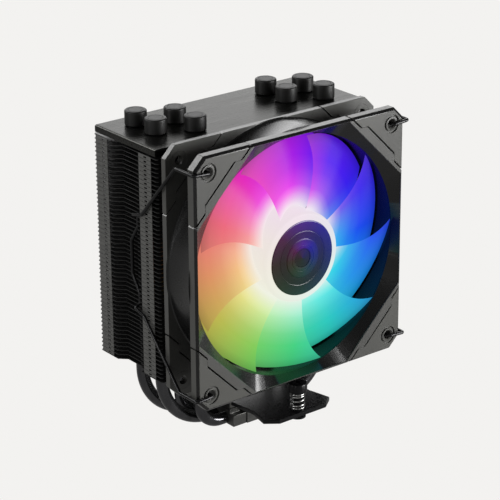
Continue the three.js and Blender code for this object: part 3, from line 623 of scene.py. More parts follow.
def duct():
    """The duct's wall between the flanges, with a rounded root where it meets each of them."""
    h0, h1 = FRONT_SPAN[1] - 0.3, REAR_SPAN[0] + 0.3
    near, far = DUCT_ROOT * 0.6, DUCT_ROOT * 1.5
    profile = [(DUCT_INNER, h0), (DUCT_OUTER + DUCT_ROOT, h0), (DUCT_OUTER + 0.3, h0 + near),
               (DUCT_OUTER, h0 + far), (DUCT_OUTER, h1 - far),
               (DUCT_OUTER + 0.3, h1 - near), (DUCT_OUTER + DUCT_ROOT, h1), (DUCT_INNER, h1)]
    bm = bmesh.new()
    turned(bm, profile, on_fan, BORE_SIDES, solid=False)
    # The whole duct takes the near-black glossy copy: painted shade between the flanges.
    return to_object("duct", bm, PBT_SHADED_GLOSS)


def strut(index):
    """A rounded bar from the motor mount to the duct's wall, lying off centre."""
    front = REAR_SPAN[1] - STRUT_SET_BACK
    half, inset = STRUT_WIDTH / 2, STRUT_INSET
    section = [(-half, front + inset), (-half + inset, front), (half - inset, front),
               (half, front + inset), (half, front + STRUT_DEPTH - inset),
               (half - inset, front + STRUT_DEPTH), (-half + inset, front + STRUT_DEPTH),
               (-half, front + STRUT_DEPTH - inset)]
    angle = index * math.pi / 2 + STRUT_ANGLE
    c, s = math.cos(angle), math.sin(angle)
    far_end = math.sqrt((DUCT_INNER + STRUT_BITE) ** 2 - (STRUT_OFFSET + half) ** 2)
    loops = []
    for along in (MOUNT_RADIUS - STRUT_ROOT, far_end):
        loops.append([on_fan((STRUT_OFFSET + x) * c + along * s, along * c - (STRUT_OFFSET + x) * s, h)
                      for x, h in section])
    bm = bmesh.new()
    loft(bm, loops)
    return to_object("strut", bm, PBT, PBT_SHADED_GLOSS)


def motor_mount():
    """A round plate with a seat for the bearing tube."""
    front, rear = REAR_SPAN[1] - 3, REAR_SPAN[1] - 0.5
    profile = [(MOUNT_RADIUS - 0.4, front), (MOUNT_RADIUS, front + 0.4),
               (MOUNT_RADIUS, rear - 0.4), (MOUNT_RADIUS - 0.4, rear), (SEAT_RADIUS + 0.3, rear),
               (SEAT_RADIUS, rear - 0.3), (SEAT_RADIUS, front)]
    bm = bmesh.new()
    turned(bm, profile, on_fan, 96, solid=False)
    return to_object("mount", bm, PBT, PBT_SHADED_GLOSS)


fan_frame = flange("fan_frame", FRONT_SPAN, True)
join_into(fan_frame, flange("rear", REAR_SPAN, False), duct(), motor_mount(),
          *[strut(i) for i in range(4)])
finished(fan_frame, "cooler", "frame_plastic", "frame_front", "frame_duct", "frame_rear",
         "motor_mount")
print("fan frame faces:", len(fan_frame.data.polygons))

# %% [markdown]
# ## The rotor
#
# Nine swept blades stand on a cup-shaped hub. Each blade is a thin curved sheet, thickest at its root
# and rounded at its edges. It could be an extruded outline bent by modifiers, but one formula gives
# every point directly: the angle grows with the span, which sweeps the blade, and the depth follows
# the chord, which gives its pitch. The leading edge is the front one.

# %% Impeller
BLADE_COUNT = 9
BLADE_FRONT, BLADE_REAR = -47.6, -33.8
BLADE_SWEEP, BLADE_WIDTH_ROOT, BLADE_WIDTH_TIP = 0.3, 1.3, 0.96
HUB_FRONT, HUB_REAR = -50.6, -33.0
SPAN_STEPS, CHORD_STEPS = 14, 16
BLADE_ROOT_THICK, BLADE_THINNING, BLADE_CAMBER = 0.9, 0.4, 1.6
CUP_WALL, CUP_EDGE, CUP_FACE, CUP_OPENING = 1.9, 1.6, 1.5, 16.0


def blade_point(index, span, chord, side):
    """Span runs 0 to 1 from root to tip, chord -0.5 to 0.5, and side is 1 on the front skin."""
    root = HUB_RADIUS - 0.6
    radius = root + (TIP_RADIUS - root) * span
    width = BLADE_WIDTH_ROOT + (BLADE_WIDTH_TIP - BLADE_WIDTH_ROOT) * span
    angle = 2 * math.pi * index / BLADE_COUNT + BLADE_SWEEP * span ** 2 + chord * width
    round_off = math.sqrt(max(1 - (2 * chord) ** 2, 0))
    thickness = (BLADE_ROOT_THICK - BLADE_THINNING * span) * round_off
    depth = BLADE_REAR + (BLADE_FRONT - BLADE_REAR) * (chord + 0.5)
    depth += BLADE_CAMBER * round_off ** 2
    return on_fan(radius * math.cos(angle), radius * math.sin(angle), depth - side * thickness / 2)


def blade(bm, index):
    loops = []
    for j in range(SPAN_STEPS + 1):
        span = j / SPAN_STEPS
        chords = [-0.5 * math.cos(math.pi * i / CHORD_STEPS) for i in range(CHORD_STEPS + 1)]
        front = [blade_point(index, span, c, 1) for c in chords]
        rear = [blade_point(index, span, c, -1) for c in reversed(chords[1:-1])]
        loops.append(front + rear)
    loft(bm, loops)


def hub_cup(bm):
    """The hub's cup, its front edge rounded."""
    arc = [math.pi / 2 * i / 6 for i in range(7)]
    rim = [(HUB_RADIUS - CUP_EDGE * (1 - math.sin(a)), HUB_FRONT + CUP_EDGE * (1 - math.cos(a)))
           for a in arc]
    inner, back = HUB_RADIUS - CUP_WALL, HUB_FRONT + CUP_FACE
    turned(bm, [(CUP_OPENING, HUB_FRONT), *rim, (HUB_RADIUS, HUB_REAR), (inner, HUB_REAR),
                (inner, back), (CUP_OPENING, back)], on_fan, 96)


bm = bmesh.new()
hub_cup(bm)
for face in bm.faces:
    face.material_index = 1
for blade_index in range(BLADE_COUNT):
    blade(bm, blade_index)
impeller = finished(to_object("impeller", bm, BLADE_LIT, HUB_LIT), "rotor", "blade_plastic",
                    "impeller", angle_deg=50)
print("impeller blades:", BLADE_COUNT, "faces:", len(impeller.data.polygons))

# %% [markdown]
# The hub's cap is a smoked disc with turned steps and a satin shine, which spreads the lamps' light
# thin. Its coloured glow is a painted reflection of the lit rotor, in darker hues of the same order,
# stronger and weaker in rings by radius.

# %% Hub cap
CAP_RADIUS = 17.7
CAP_FACE = front_low.y / MM
REFLECTED_HUES = ["#041c74", "#140890", "#440c88", "#480640", "#2a1c10", "#183018", "#063830", "#06304c"]


def cap_painted_reflection():
    material, tree, shader = new_material("polycarbonate_smoked_satin_painted_reflection", Roughness=0.3, IOR=1.58,
                                          Specular_IOR_Level=0.2, Base_Color=linear("#050508"))
    # The emission is a painted reflection of the lit rotor: hue by angle, strength in rings by radius.
    angle, radius = polar(tree)
    wheel = hue_wheel(tree, angle, REFLECTED_HUES)
    power = by_radius(tree, radius, [(0, 0.3), (4.4, 0.3), (5, 0.9), (7, 1.0), (8.8, 0.8),
                                     (9.6, 0.45), (12, 0.4), (14, 0.7), (17.7, 0.9)])
    glow = add_node(tree, "ShaderNodeMix", {"data_type": "RGBA", "blend_type": "MULTIPLY"}, i0=1.0,
                    i6=(wheel, "Color"), i7=(power, "Color"))
    tree.links.new(glow.outputs[2], shader.inputs["Emission Color"])
    shader.inputs["Emission Strength"].default_value = 1.0
    return material


back_face = HUB_FRONT - 0.3
steps = [(4.2, CAP_FACE + 0.3), (4.5, CAP_FACE + 0.05), (5.0, CAP_FACE), (6.0, CAP_FACE),
         (6.2, CAP_FACE + 0.12), (6.4, CAP_FACE), (8.8, CAP_FACE), (9.3, CAP_FACE + 0.25),
         (12.6, CAP_FACE + 0.25), (12.8, CAP_FACE + 0.33), (13.0, CAP_FACE + 0.25),
         (CAP_RADIUS - 0.5, CAP_FACE + 0.25), (CAP_RADIUS - 0.1, CAP_FACE + 0.4),
         (CAP_RADIUS, CAP_FACE + 0.55), (CAP_RADIUS, back_face)]
bm = bmesh.new()
turned(bm, steps, on_fan, 96)
finished(to_object("hub_cap", bm, cap_painted_reflection()), "rotor", "hub_plastic", "hub_cap", angle_deg=20)
print("hub cap steps:", len(steps))

# %% [markdown]
# ## The fin stack
#
# The tower is 53 aluminium fins of 0.4 mm. Each is stamped with a collar round every pipe, and its
# side tabs fold down onto the fin below, so the tabs join into four strips with one small slot per
# fin. The strips' lighter grey is painted light on the fins' own black sheet. The model's frame
# carries every second fin only. Here one fin is cut with its eight holes and an array repeats it,
# which stays easy to change and guarantees an even pitch.

# %% Fins
fins_low, fins_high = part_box("fin_stack")
FIN_COUNT, FIN_PITCH, FIN_THICKNESS = 53, 2.05, 0.4
FIN_BOTTOM = fins_low.z / MM
HALF_WIDTH, HALF_DEPTH = fins_high.x / MM, fins_high.y / MM
STRIPS = [(13.6, 22.6), (-19.7, -10.5)]
RECESS, RECESS_DEPTH = (-8.2, 10.4), 3.5
PIPE_PITCH, PIPE_WIDE, PIPE_NARROW, PIPE_RADIUS = 7.65, 45.5, 29.3, 3.0
PIPE_FIT, COLLAR_SHEET, COLLAR_TOP, FIN_CORNER = 0.05, 0.3, 1.5, 0.8
PIPES = [((1.5 - i) * PIPE_PITCH, *((PIPE_WIDE, PIPE_NARROW) if i % 2 == 0 else
                                    (PIPE_NARROW, PIPE_WIDE))) for i in range(4)]
PIPE_LEGS = [leg for y, left, right in PIPES for leg in ((-left, y), (right, y))]


def one_fin():
    w, d, floor = HALF_WIDTH, HALF_DEPTH, HALF_WIDTH - RECESS_DEPTH
    side = [(w - FIN_CORNER, -d), (w, -d + FIN_CORNER), (w, RECESS[0]), (floor, RECESS[0]),
            (floor, RECESS[1] - RECESS_DEPTH), (w, RECESS[1]), (w, d - FIN_CORNER),
            (w - FIN_CORNER, d)]
    outline = side + [(-x, y) for x, y in reversed(side)]
    fin = plate("fin_stack", outline, lambda x, y, h: (x, y, h), FIN_BOTTOM,
                FIN_BOTTOM + FIN_THICKNESS, FIN_BLACK, TAB_PAINTED_LIGHT)
    bm = bmesh.new()
    for x0, y0 in PIPE_LEGS:
        hole = PIPE_RADIUS + PIPE_FIT
        turned(bm, [(hole, FIN_BOTTOM - 1), (hole, FIN_BOTTOM + 1)], upright(x0, y0), 20)
    return carve(fin, to_object("tool", bm))


def collars(bm):
    """A short tube stamped up round each pipe."""
    inner, top = PIPE_RADIUS + PIPE_FIT, FIN_BOTTOM + COLLAR_TOP
    outer = inner + COLLAR_SHEET
    for x0, y0 in PIPE_LEGS:
        turned(bm, [(outer, FIN_BOTTOM + 0.2), (outer, top), (inner, top), (inner, FIN_BOTTOM + 0.2)],
               upright(x0, y0), 20, solid=False)


def stacked(obj, count):
    array = obj.modifiers.new("stack", "ARRAY")
    array.count = count
    array.use_relative_offset = False
    array.use_constant_offset = True
    array.constant_offset_displace = (0, 0, FIN_PITCH * MM)
    return evaluated(obj)


bm = bmesh.new()
collars(bm)
fin_stack = join_into(one_fin(), to_object("collars", bm, FIN_BLACK))
stacked(fin_stack, FIN_COUNT)
print("fins:", FIN_COUNT, "stack height in mm:", round(fin_stack.dimensions.z / MM, 1))

# %% [markdown]
# The tabs are real folded sheet: a bent lip from the fin's edge, then a flat face with its slot. The
# slot is a hole through the tab, so the dark behind it shows at every angle.

# %% Folded tabs
TAB_HEIGHT, TAB_PROUD, TAB_SHEET = 1.9, 0.02, 0.4
SLOT_PLACES = (16.8, -15.4)
SLOT_WIDTH, SLOT_HEIGHT = 2.0, 0.75


def tab(bm, side, y0, y1, slot_y):
    """One tab on the side x = side * half width, hanging from the second fin."""
    top = FIN_BOTTOM + FIN_PITCH + FIN_THICKNESS
    bottom = top - TAB_HEIGHT
    middle = (top + bottom) / 2 - 0.1
    outer = [(y0, bottom), (y1, bottom), (y1, top), (y0, top)]
    inner = [(slot_y - SLOT_WIDTH / 2, middle - SLOT_HEIGHT / 2),
             (slot_y + SLOT_WIDTH / 2, middle - SLOT_HEIGHT / 2),
             (slot_y + SLOT_WIDTH / 2, middle + SLOT_HEIGHT / 2),
             (slot_y - SLOT_WIDTH / 2, middle + SLOT_HEIGHT / 2)]
    face = side * (HALF_WIDTH + TAB_PROUD)
    behind = side * (HALF_WIDTH + TAB_PROUD - TAB_SHEET)
    loops = [[(x, y, z) for y, z in ring] for ring, x in
             ((outer, face), (outer, behind), (inner, behind), (inner, face))]
    loft(bm, loops, closed_ring=True)


bm = bmesh.new()
for side_sign in (-1, 1):
    for (tab_low, tab_high), slot_place in zip(STRIPS, SLOT_PLACES):
        tab(bm, side_sign, tab_low, tab_high, slot_place)
tabs = stacked(to_object("tabs", bm, TAB_PAINTED_LIGHT), FIN_COUNT - 1)
join_into(fin_stack, tabs)
finished(fin_stack, "cooler", "fin_black", "fin_stack")
print("fin stack faces:", len(fin_stack.data.polygons))

# %% [markdown]
# ## The top cover and the caps
#
# The cover is a brushed plate folded down at both ends. The fold has a real radius of about 0.8 mm,
# and that rounded edge is what catches the long white highlight, so it is modelled, not shaded.

# %% Top cover
cover_low, cover_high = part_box("top_cover")
COVER_TOP, COVER_SHEET, FOLD = cover_high.z / MM, 1.0, 0.9
COVER_FLAT, COVER_CLEARANCE = 2.0, 0.6
COVER_HALF = cover_high.y / MM


def folded_skirt(bm, side):
    """The end of the cover: a short flat, the fold and the skirt, as one bent strip."""
    w, skirt_end = HALF_WIDTH, cover_low.z / MM
    bend = [math.pi / 2 * i / 8 for i in range(9)]
    outer = [(w - FOLD * (1 - math.sin(a)), COVER_TOP - FOLD * (1 - math.cos(a))) for a in bend]
    inner = [(w - COVER_SHEET, skirt_end), (w - COVER_SHEET, COVER_TOP - COVER_SHEET),
             (w - COVER_FLAT, COVER_TOP - COVER_SHEET)]
    profile = [(w - COVER_FLAT, COVER_TOP)] + outer + [(w, skirt_end)] + inner
    loft(bm, [[(side * x, y, z) for x, z in profile] for y in (-COVER_HALF, COVER_HALF)])


top_half = HALF_WIDTH - COVER_FLAT
top_outline = [(-top_half, -COVER_HALF), (top_half, -COVER_HALF), (top_half, COVER_HALF),
               (-top_half, COVER_HALF)]
cover = plate("top_cover", top_outline, lambda x, y, h: (x, y, h), COVER_TOP - COVER_SHEET,
              COVER_TOP, COVER_BRUSHED)
bm = bmesh.new()
for x_leg, y_leg in PIPE_LEGS:
    hole = PIPE_RADIUS + COVER_CLEARANCE
    turned(bm, [(hole, COVER_TOP - 3), (hole, COVER_TOP + 3)], upright(x_leg, y_leg), 32)
carve(cover, to_object("tool", bm))
bm = bmesh.new()
for side_sign in (-1, 1):
    folded_skirt(bm, side_sign)
join_into(cover, to_object("skirts", bm, COVER_BRUSHED))
finished(cover, "cooler", "cover_brushed", "top_cover")
print("cover in mm:", [round(v / MM, 1) for v in cover.dimensions])

# %% Pipe caps
def pipe_cap(number, x0, y0):
    """A turned cap with a blind bore, a rounded top edge and a faint turned ring on top."""
    low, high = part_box(f"pipe_cap_{number}")
    bottom, top, radius = low.z / MM, high.z / MM, (high.x - low.x) / 2 / MM
    bore, edge = PIPE_RADIUS + 0.3, 0.7
    arc = [math.pi / 2 * i / 5 for i in range(6)]
    rim = [(radius - edge * (1 - math.cos(a)), top - edge * (1 - math.sin(a))) for a in arc]
    profile = [(bore, top - 3), (bore, bottom), (radius - 0.3, bottom), (radius, bottom + 0.3), *rim,
               (radius - 1.5, top), (radius - 1.65, top - 0.12), (radius - 1.8, top)]
    bm = bmesh.new()
    turned(bm, profile, upright(x0, y0), 64)
    name = f"pipe_cap_{number}"
    return finished(to_object(name, bm, CAP_BLACK), "cooler", "cap_black", name, angle_deg=25)


for leg_index, (x_leg, y_leg) in enumerate(PIPE_LEGS):
    pipe_cap(leg_index + 1, x_leg, y_leg)
print("caps:", len(PIPE_LEGS))

# %% [markdown]
# ## The heat pipes
#
# A heat pipe is drawn copper tube, bent into a U and pressed flat where it meets the processor. A
# bent rod could be a curve with a bevel, but the flat needs the mesh, so the section is swept along
# the path point by point. The frame of each section is carried along from the one before, which
# keeps the tube from twisting.

# %% Bent rods
def rounded_route(corners, radii, steps=10):
    """Straight runs between corners, each inner corner rounded to its radius."""
    points = [Vector(p) for p in corners]
    route = [points[0]]
    for before, here, after, radius in zip(points, points[1:], points[2:], radii):
        into, out = (here - before).normalized(), (after - here).normalized()
        bend = into.angle(out)
        reach = radius * math.tan(bend / 2)
        centre = here + (out - into).normalized() * radius / math.cos(bend / 2)
        start, end = here - into * reach - centre, here + out * reach - centre
        for k in range(steps + 1):
            share = k / steps
            route.append(centre + start * math.sin((1 - share) * bend) / math.sin(bend)
                         + end * math.sin(share * bend) / math.sin(bend))
    return route + [points[-1]]


def swept(bm, route, radius, sides=16):
    """A round rod along a route, with capped ends."""
    loops = []
    tangent = (route[1] - route[0]).normalized()
    normal = tangent.orthogonal().normalized()
    for i, point in enumerate(route):
        before, after = route[max(i - 1, 0)], route[min(i + 1, len(route) - 1)]
        new_tangent = (after - before).normalized()
        normal = tangent.rotation_difference(new_tangent) @ normal
        tangent = new_tangent
        side = tangent.cross(normal)
        loops.append([point + normal * x + side * y for x, y in circle(radius, sides)])
    loft(bm, loops)


WIDE_BEND, NARROW_BEND, PIPE_AXIS_Z = 27.0, 11.5, 2.6
PIPE_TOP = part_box("heat_pipe_1")[1].z / MM


def heat_pipe(number, y, left, right):
    corners = [(-left, y, PIPE_TOP), (-left, y, PIPE_AXIS_Z), (right, y, PIPE_AXIS_Z),
               (right, y, PIPE_TOP)]
    bends = [WIDE_BEND if leg == PIPE_WIDE else NARROW_BEND for leg in (left, right)]
    bm = bmesh.new()
    swept(bm, rounded_route(corners, bends, 20), PIPE_RADIUS, 32)
    for vertex in bm.verts:
        vertex.co.z = max(vertex.co.z, 0.0)
    name = f"heat_pipe_{number}"
    return finished(to_object(name, bm, BLACK_NICKEL), "cooler", "pipe_black", name)


for pipe_index, pipe in enumerate(PIPES):
    heat_pipe(pipe_index + 1, *pipe)
print("pipes:", len(PIPES))

# %% [markdown]
# ## The base
#
# The pipes lie in the grooves of a milled block. Its cross-section is one outline with four round
# notches, so it is an extrusion along X, with the boss that carries the bar joined on. A plate with
# two rails closes it from above.

# %% Base block and its cover
base_low, base_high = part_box("base_block")
BASE_HALF_X, BASE_HALF_Y, BASE_LEDGE, BASE_TOP, CORE_Y = base_high.x / MM, 18.6, 5.7, 8.0, 15.6
BOSS_HALF_X, BOSS_HALF_Y = 7.1, 19.2


def along_x(x, y, h):
    return (h, x, y)


def solid_box(name, x, y, z, *materials):
    """A closed box between three pairs of limits, as a tool or as the start of a shape."""
    return plate(name, [(y[0], z[0]), (y[1], z[0]), (y[1], z[1]), (y[0], z[1])], along_x, x[0], x[1],
                 *materials)


def base_block():
    steps_up = [(BASE_HALF_Y, 0), (BASE_HALF_Y, BASE_LEDGE), (CORE_Y, BASE_LEDGE), (CORE_Y, BASE_TOP)]
    outline = steps_up + [(-y, z) for y, z in reversed(steps_up)]
    block = plate("base_block", outline, along_x, -BASE_HALF_X, BASE_HALF_X, MILLED)
    boss = solid_box("tool", (-BOSS_HALF_X, BOSS_HALF_X), (-BOSS_HALF_Y, BOSS_HALF_Y), (0, BASE_TOP))
    carve(block, boss, "UNION")
    for y, _, _ in PIPES:
        groove = [(y + u, PIPE_AXIS_Z + v) for u, v in circle(PIPE_RADIUS + PIPE_FIT, 48)]
        carve(block, plate("tool", groove, along_x, -BASE_HALF_X - 1, BASE_HALF_X + 1))
    return finished(soften(block, 0.25), "cooler", "base_metal", "base_block", angle_deg=CRISP)


def base_cover():
    low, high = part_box("base_cover")
    rail, plate_top = 11.6, 13.0
    z0, z1, half_y = low.z / MM, high.z / MM, high.y / MM
    outline = [(-BASE_HALF_X, z0), (BASE_HALF_X, z0), (BASE_HALF_X, z1), (rail, z1),
               (rail, plate_top), (-rail, plate_top), (-rail, z1), (-BASE_HALF_X, z1)]
    cover_plate = plate("base_cover", outline, lambda x, z, h: (x, h, z), -half_y, half_y, MILLED)
    return finished(soften(cover_plate, 0.3), "cooler", "base_metal", "base_cover", angle_deg=CRISP)


base_block()
base_cover()
print("base in mm:", [round(v / MM, 1) for v in (base_high - base_low)])

# %% [markdown]
# ## The mounting bar
#
# The bar is 2 mm steel, blanked flat and then folded four times. It is made the same way here: a flat
# plate with its holes, cut across at the fold lines, and then every point raised by the height that
# the bar has at its place. The foot's corners are cut at an angle.

# %% Crossbar
bar_low, bar_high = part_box("crossbar")
BAR_SHEET = 2.0
BAR_LEVEL, FOOT_LEVEL = bar_low.z / MM, bar_high.z / MM - BAR_SHEET
RISE_START, RISE_END, BAR_END = 19.0, 37.0, bar_high.y / MM
SCREW_Y, BAR_SCREW_Y = 48.0, 9.0
FOOT_HOLE, BAR_HOLE = 2.5, 1.75


def bar_height(y):
    share = min(max((abs(y) - RISE_START) / (RISE_END - RISE_START), 0), 1)
    return BAR_LEVEL + (FOOT_LEVEL - BAR_LEVEL) * share


def crossbar():
    front = [(11, -18.5), (18.2, -21), (17.5, -RISE_END), (19.9, -47.5), (14, -BAR_END)]
    right_side = list(reversed(front)) + [(x, -y) for x, y in front]
    outline = right_side + [(-x, y) for x, y in reversed(right_side)]
    bar = plate("crossbar", outline, lambda x, y, h: (x, y, h), 0, BAR_SHEET, BAR_BLACK)
    bm = bmesh.new()
    for y, radius in ((SCREW_Y, FOOT_HOLE), (BAR_SCREW_Y, BAR_HOLE)):
        for end in (-1, 1):
            turned(bm, [(radius, -1), (radius, BAR_SHEET + 1)], upright(0, end * y), 40)
    carve(bar, to_object("tool", bm))
    bm = bmesh.new()
    bm.from_mesh(bar.data)
    for y in (-RISE_END, -RISE_START, RISE_START, RISE_END):
        bmesh.ops.bisect_plane(bm, geom=bm.verts[:] + bm.edges[:] + bm.faces[:],
                               plane_co=(0, y * MM, 0), plane_no=(0, 1, 0))
    for vertex in bm.verts:
        vertex.co.z += bar_height(vertex.co.y / MM) * MM
    bm.to_mesh(bar.data)
    bm.free()
    soften(bar, 0.3, angle_deg=40)
    return finished(bar, "cooler", "bar_black", "crossbar", angle_deg=CRISP)


crossbar()
print("bar in mm:", [round(v / MM, 1) for v in (bar_high - bar_low)])

# %% [markdown]
# ## Screws, springs and rings
#
# Each foot has a screw that is held by a small retaining ring under the bar and pushed up by a coil
# spring. Screws are turned parts, and their cross recess is cut with two crossed bars. The spring is
# a rod swept along a helix. When the screw is pressed down the spring shortens.

# %% Screws
def cross_recess(x0, y0, top, reach, width, depth):
    deep = (top - depth, top + 1)
    tool = solid_box("tool", (x0 - reach, x0 + reach), (y0 - width, y0 + width), deep)
    other = solid_box("other", (x0 - width, x0 + width), (y0 - reach, y0 + reach), deep)
    return carve(tool, other, "UNION")


def screw(name, y0, profile, reach, material, body, slot):
    bm = bmesh.new()
    turned(bm, profile, upright(0, y0), 48)
    piece = to_object(name, bm, material)
    carve(piece, cross_recess(0, y0, profile[-1][1], reach, 0.45, 1.4))
    return finished(piece, body, slot, name, angle_deg=28)


SHANK, GROOVE_LOW, GROOVE_HIGH, RING_SEAT = 2.0, 12.3, 13.7, 1.5
HEAD, HEAD_UNDER, HEAD_TOP, SCREW_TIP = 4.5, 25.5, 30.0, 11.4

for end, sign in (("front", -1), ("rear", 1)):
    screw(f"spring_screw_{end}", sign * SCREW_Y,
          [(1.6, SCREW_TIP), (SHANK, SCREW_TIP + 0.4), (SHANK, GROOVE_LOW), (RING_SEAT, GROOVE_LOW),
           (RING_SEAT, GROOVE_HIGH), (SHANK, GROOVE_HIGH), (SHANK, HEAD_UNDER), (HEAD - 0.2, HEAD_UNDER),
           (HEAD, HEAD_UNDER + 0.2), (HEAD, HEAD_TOP - 0.7), (HEAD - 0.2, HEAD_TOP - 0.2),
           (HEAD - 0.7, HEAD_TOP)], 2.6, BAR_BLACK, f"{end}_screw", "bar_black")
    seat = BAR_LEVEL + BAR_SHEET + 0.3
    screw(f"crossbar_screw_{end}", sign * BAR_SCREW_Y,
          [(1.45, BASE_TOP + 0.6), (1.45, seat), (2.8, seat), (2.8, seat + 0.7), (2.5, seat + 1.3),
           (1.9, seat + 1.7)], 1.4, ZINC, "cooler", "spring_steel")
print("screws: 4, spring screw length in mm:", HEAD_TOP - SCREW_TIP)

# %% Springs
SPRING_RADIUS, SPRING_WIRE, SPRING_TURNS = 3.1, 0.45, 5
RING_INNER, RING_OUTER, RING_OPENING, RING_STEPS = 1.8, 3.9, 0.5, 40


def spring(end, y0):
    """A coil with closed end turns, so the pitch opens up in the middle only."""
    name = f"screw_spring_{end}"
    low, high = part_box(name)
    z0, z1 = low.z / MM + SPRING_WIRE, high.z / MM - SPRING_WIRE
    count = 32 * SPRING_TURNS
    route = []
    for i in range(count + 1):
        share = i / count
        eased = share - 0.6 * math.sin(2 * math.pi * share) / (2 * math.pi)
        angle = 2 * math.pi * SPRING_TURNS * share
        route.append(Vector((SPRING_RADIUS * math.cos(angle), y0 + SPRING_RADIUS * math.sin(angle),
                             z0 + (z1 - z0) * eased)))
    bm = bmesh.new()
    swept(bm, route, SPRING_WIRE, 12)
    piece = finished(to_object(name, bm, ZINC), "cooler", "spring_steel", name)
    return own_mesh(piece)


def retaining_ring(end, y0):
    """An open ring, its gap 0.5 rad to each side, snapped into the screw's groove."""
    name = f"screw_ring_{end}"
    low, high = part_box(name)
    z0, z1 = low.z / MM, high.z / MM
    loops = []
    for i in range(RING_STEPS + 1):
        angle = RING_OPENING + 2 * (math.pi - RING_OPENING) * i / RING_STEPS
        c, s = math.cos(angle), math.sin(angle)
        loops.append([(r * c, y0 + r * s, z) for r, z in
                      ((RING_INNER, z0), (RING_OUTER, z0), (RING_OUTER, z1), (RING_INNER, z1))])
    bm = bmesh.new()
    loft(bm, loops)
    return finished(to_object(name, bm, BAR_BLACK), f"{end}_screw_slide", "bar_black", name)


for end, sign in (("front", -1), ("rear", 1)):
    spring(end, sign * SCREW_Y)
    retaining_ring(end, sign * SCREW_Y)
print("springs: 2, turns each:", SPRING_TURNS)

# %% [markdown]
# ## The wire clips and the rubber strips
#
# Each clip is one length of 1.6 mm spring wire. Its ends turn into the fan's corner holes, it runs
# back along the fan's side and hooks into the tower's recess, and its middle stands out a little as a
# finger grip. Two soft strips lie between fan and fins and take up the rattle.

# %% Wire clips
WIRE_RADIUS = 0.8


def wire_clip(side_name, side):
    half = [(HOLE_OFFSET, -47.4, HOLE_OFFSET), (HOLE_OFFSET, -52.7, HOLE_OFFSET),
            (61.3, -52.7, 53.1), (61.3, -39.6, 53.1), (61.3, -13.6, 24.4), (61.3, -6.6, 22.6),
            (58.3, -6.6, 21.4), (58.3, -6.6, 16.4), (58.3, -1.2, 8.2)]
    corners = [(side * x, y, FAN_Z + z) for x, y, z in half]
    corners += [(side * x, y, FAN_Z - z) for x, y, z in reversed(half)]
    bm = bmesh.new()
    swept(bm, rounded_route(corners, [1.2] * (len(corners) - 2), 6), WIRE_RADIUS, 14)
    name = f"wire_clip_{side_name}"
    return finished(to_object(name, bm, WIRE_BLACK), f"clip_{side_name}", "clip_wire", name)


def rubber_strip(side_name):
    """A strip with rounded long edges."""
    name = f"rubber_strip_{side_name}"
    low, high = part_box(name)
    x0, x1, y0, y1 = low.x / MM, high.x / MM, low.y / MM, high.y / MM
    inset = 0.5
    section = [(x0, y1), (x0, y0 + inset), (x0 + inset * 0.3, y0 + inset * 0.3), (x0 + inset, y0),
               (x1 - inset, y0), (x1 - inset * 0.3, y0 + inset * 0.3), (x1, y0 + inset), (x1, y1)]
    strip = plate(name, section, lambda x, y, h: (x, y, h), low.z / MM, high.z / MM, SILICONE)
    return finished(strip, "cooler", "pad_rubber", name)


for side_name, side_sign in (("left", -1), ("right", 1)):
    wire_clip(side_name, side_sign)
    rubber_strip(side_name)
print("wire clips: 2, wire in mm:", 2 * WIRE_RADIUS)

# %% [markdown]
# ## Inside the motor
#
# The motor's parts have the right shape in the frame and are hidden by the hub, so they stay as they
# are and take their real finishes: a pressed steel cup, bonded ferrite, enamelled copper, bronze that
# holds oil, nylon, and a glass fibre board.

# %% Motor finishes
FERRITE = grained("ferrite_bonded_dark", "#242220", "#302d2a", 0.6, 0.02)
NYLON = grained("nylon_natural_moulded", "#d0d0c6", "#dedcd2", 0.45, 0.02, Subsurface_Weight=0.1)
BOARD = grained("glass_fibre_board_lacquered", "#16331f", "#1e402a", 0.3, 0.02, Coat_Weight=0.4)
COPPER = streaked("copper_wire_enamelled", "#8e4a22", "#b8683a", 0.3, 0.08, 0.3, 5, 1, 0.05,
                  Metallic=1.0, Coat_Weight=0.5)
CARRIED = {"rotor_yoke": PRESSED_STEEL, "magnet_ring": FERRITE, "rotor_shaft": ZINC,
           "shaft_clip": NYLON, "bearing_tube": BRONZE, "sleeve_bearing": BRONZE,
           "bearing_cover": SILICONE, "stator": COPPER, "circuit_board": BOARD}
for node_name, finish in CARRIED.items():
    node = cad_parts[node_name]
    node.data.materials.clear()
    node.data.materials.append(finish)
print("carried-over parts:", len(CARRIED))

# %% [markdown]
# ## Floor, light and picture
#
# The cooler stands in a pale, shadowless studio: a floor and a background of the same pale tone, both
# glowing softly, with soft boxes behind, in front and at the left. Dark metal and plastic are read
# mostly by what they mirror, so the boxes' places matter more than their power.

# %% Studio
PALE = linear("#f3f2f0")
FLOOR_FILL, ROOM_FILL = 0.36, 0.12


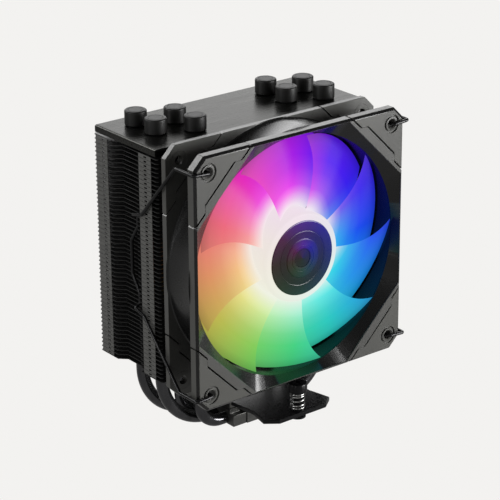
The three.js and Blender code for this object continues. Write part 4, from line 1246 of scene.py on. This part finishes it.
def pale_to_the_eye(tree, kind, output, fill, last):
    """Pale where it is looked at, and dim where it only lights and is mirrored."""
    path = add_node(tree, "ShaderNodeLightPath")
    dim = add_node(tree, kind, Color=PALE, Strength=fill)
    seen = add_node(tree, kind, Color=PALE, Strength=1.0)
    either = add_node(tree, "ShaderNodeMixShader", Fac=(path, "Is Camera Ray"), i1=(dim, output),
                      i2=(seen, output))
    add_node(tree, last, Surface=(either, "Shader"))


floor_pale = bpy.data.materials.new("floor_pale")
floor_pale.use_nodes = True
floor_pale.node_tree.nodes.clear()
pale_to_the_eye(floor_pale.node_tree, "ShaderNodeEmission", "Emission", FLOOR_FILL,
                "ShaderNodeOutputMaterial")

bm = bmesh.new()
floor_half = 4000
loft(bm, [[(x, y, z) for x, y in ((-floor_half, -floor_half), (floor_half, -floor_half),
                                  (floor_half, floor_half), (-floor_half, floor_half))]
          for z in (-4.0, -0.5)])
floor = to_object("studio_floor", bm, floor_pale)

world = bpy.data.worlds.new("studio")
bpy.context.scene.world = world
world.use_nodes = True
world.node_tree.nodes.clear()
pale_to_the_eye(world.node_tree, "ShaderNodeBackground", "Background", ROOM_FILL,
                "ShaderNodeOutputWorld")


def soft_box(name, place, aim, width, height, power):
    """A rectangular area lamp at a place in millimetres, facing a point."""
    lamp = bpy.data.lights.new(name, "AREA")
    lamp.shape = "RECTANGLE"
    lamp.size, lamp.size_y = width * MM, height * MM
    lamp.energy = power
    obj = bpy.data.objects.new(name, lamp)
    bpy.context.scene.collection.objects.link(obj)
    obj.location = Vector(place) * MM
    obj.rotation_mode = "QUATERNION"
    obj.rotation_quaternion = (Vector(aim) - Vector(place)).to_track_quat("-Z", "Y")
    return obj


soft_box("box_behind", (900, 1150, 620), (0, 0, 120), 1400, 700, 8)
soft_box("box_front", (760, -1000, 240), (0, 0, 90), 700, 500, 28)
soft_box("box_left", (-1150, 160, 420), (0, 0, 90), 500, 500, 6)
soft_box("box_back", (-550, 1100, 900), (0, 0, 110), 600, 600, 9)
soft_box("strip_left", (-900, -500, 300), (0, 0, 60), 60, 900, 1.5)
bpy.context.scene.view_settings.view_transform = "Standard"
print("soft boxes: 5")
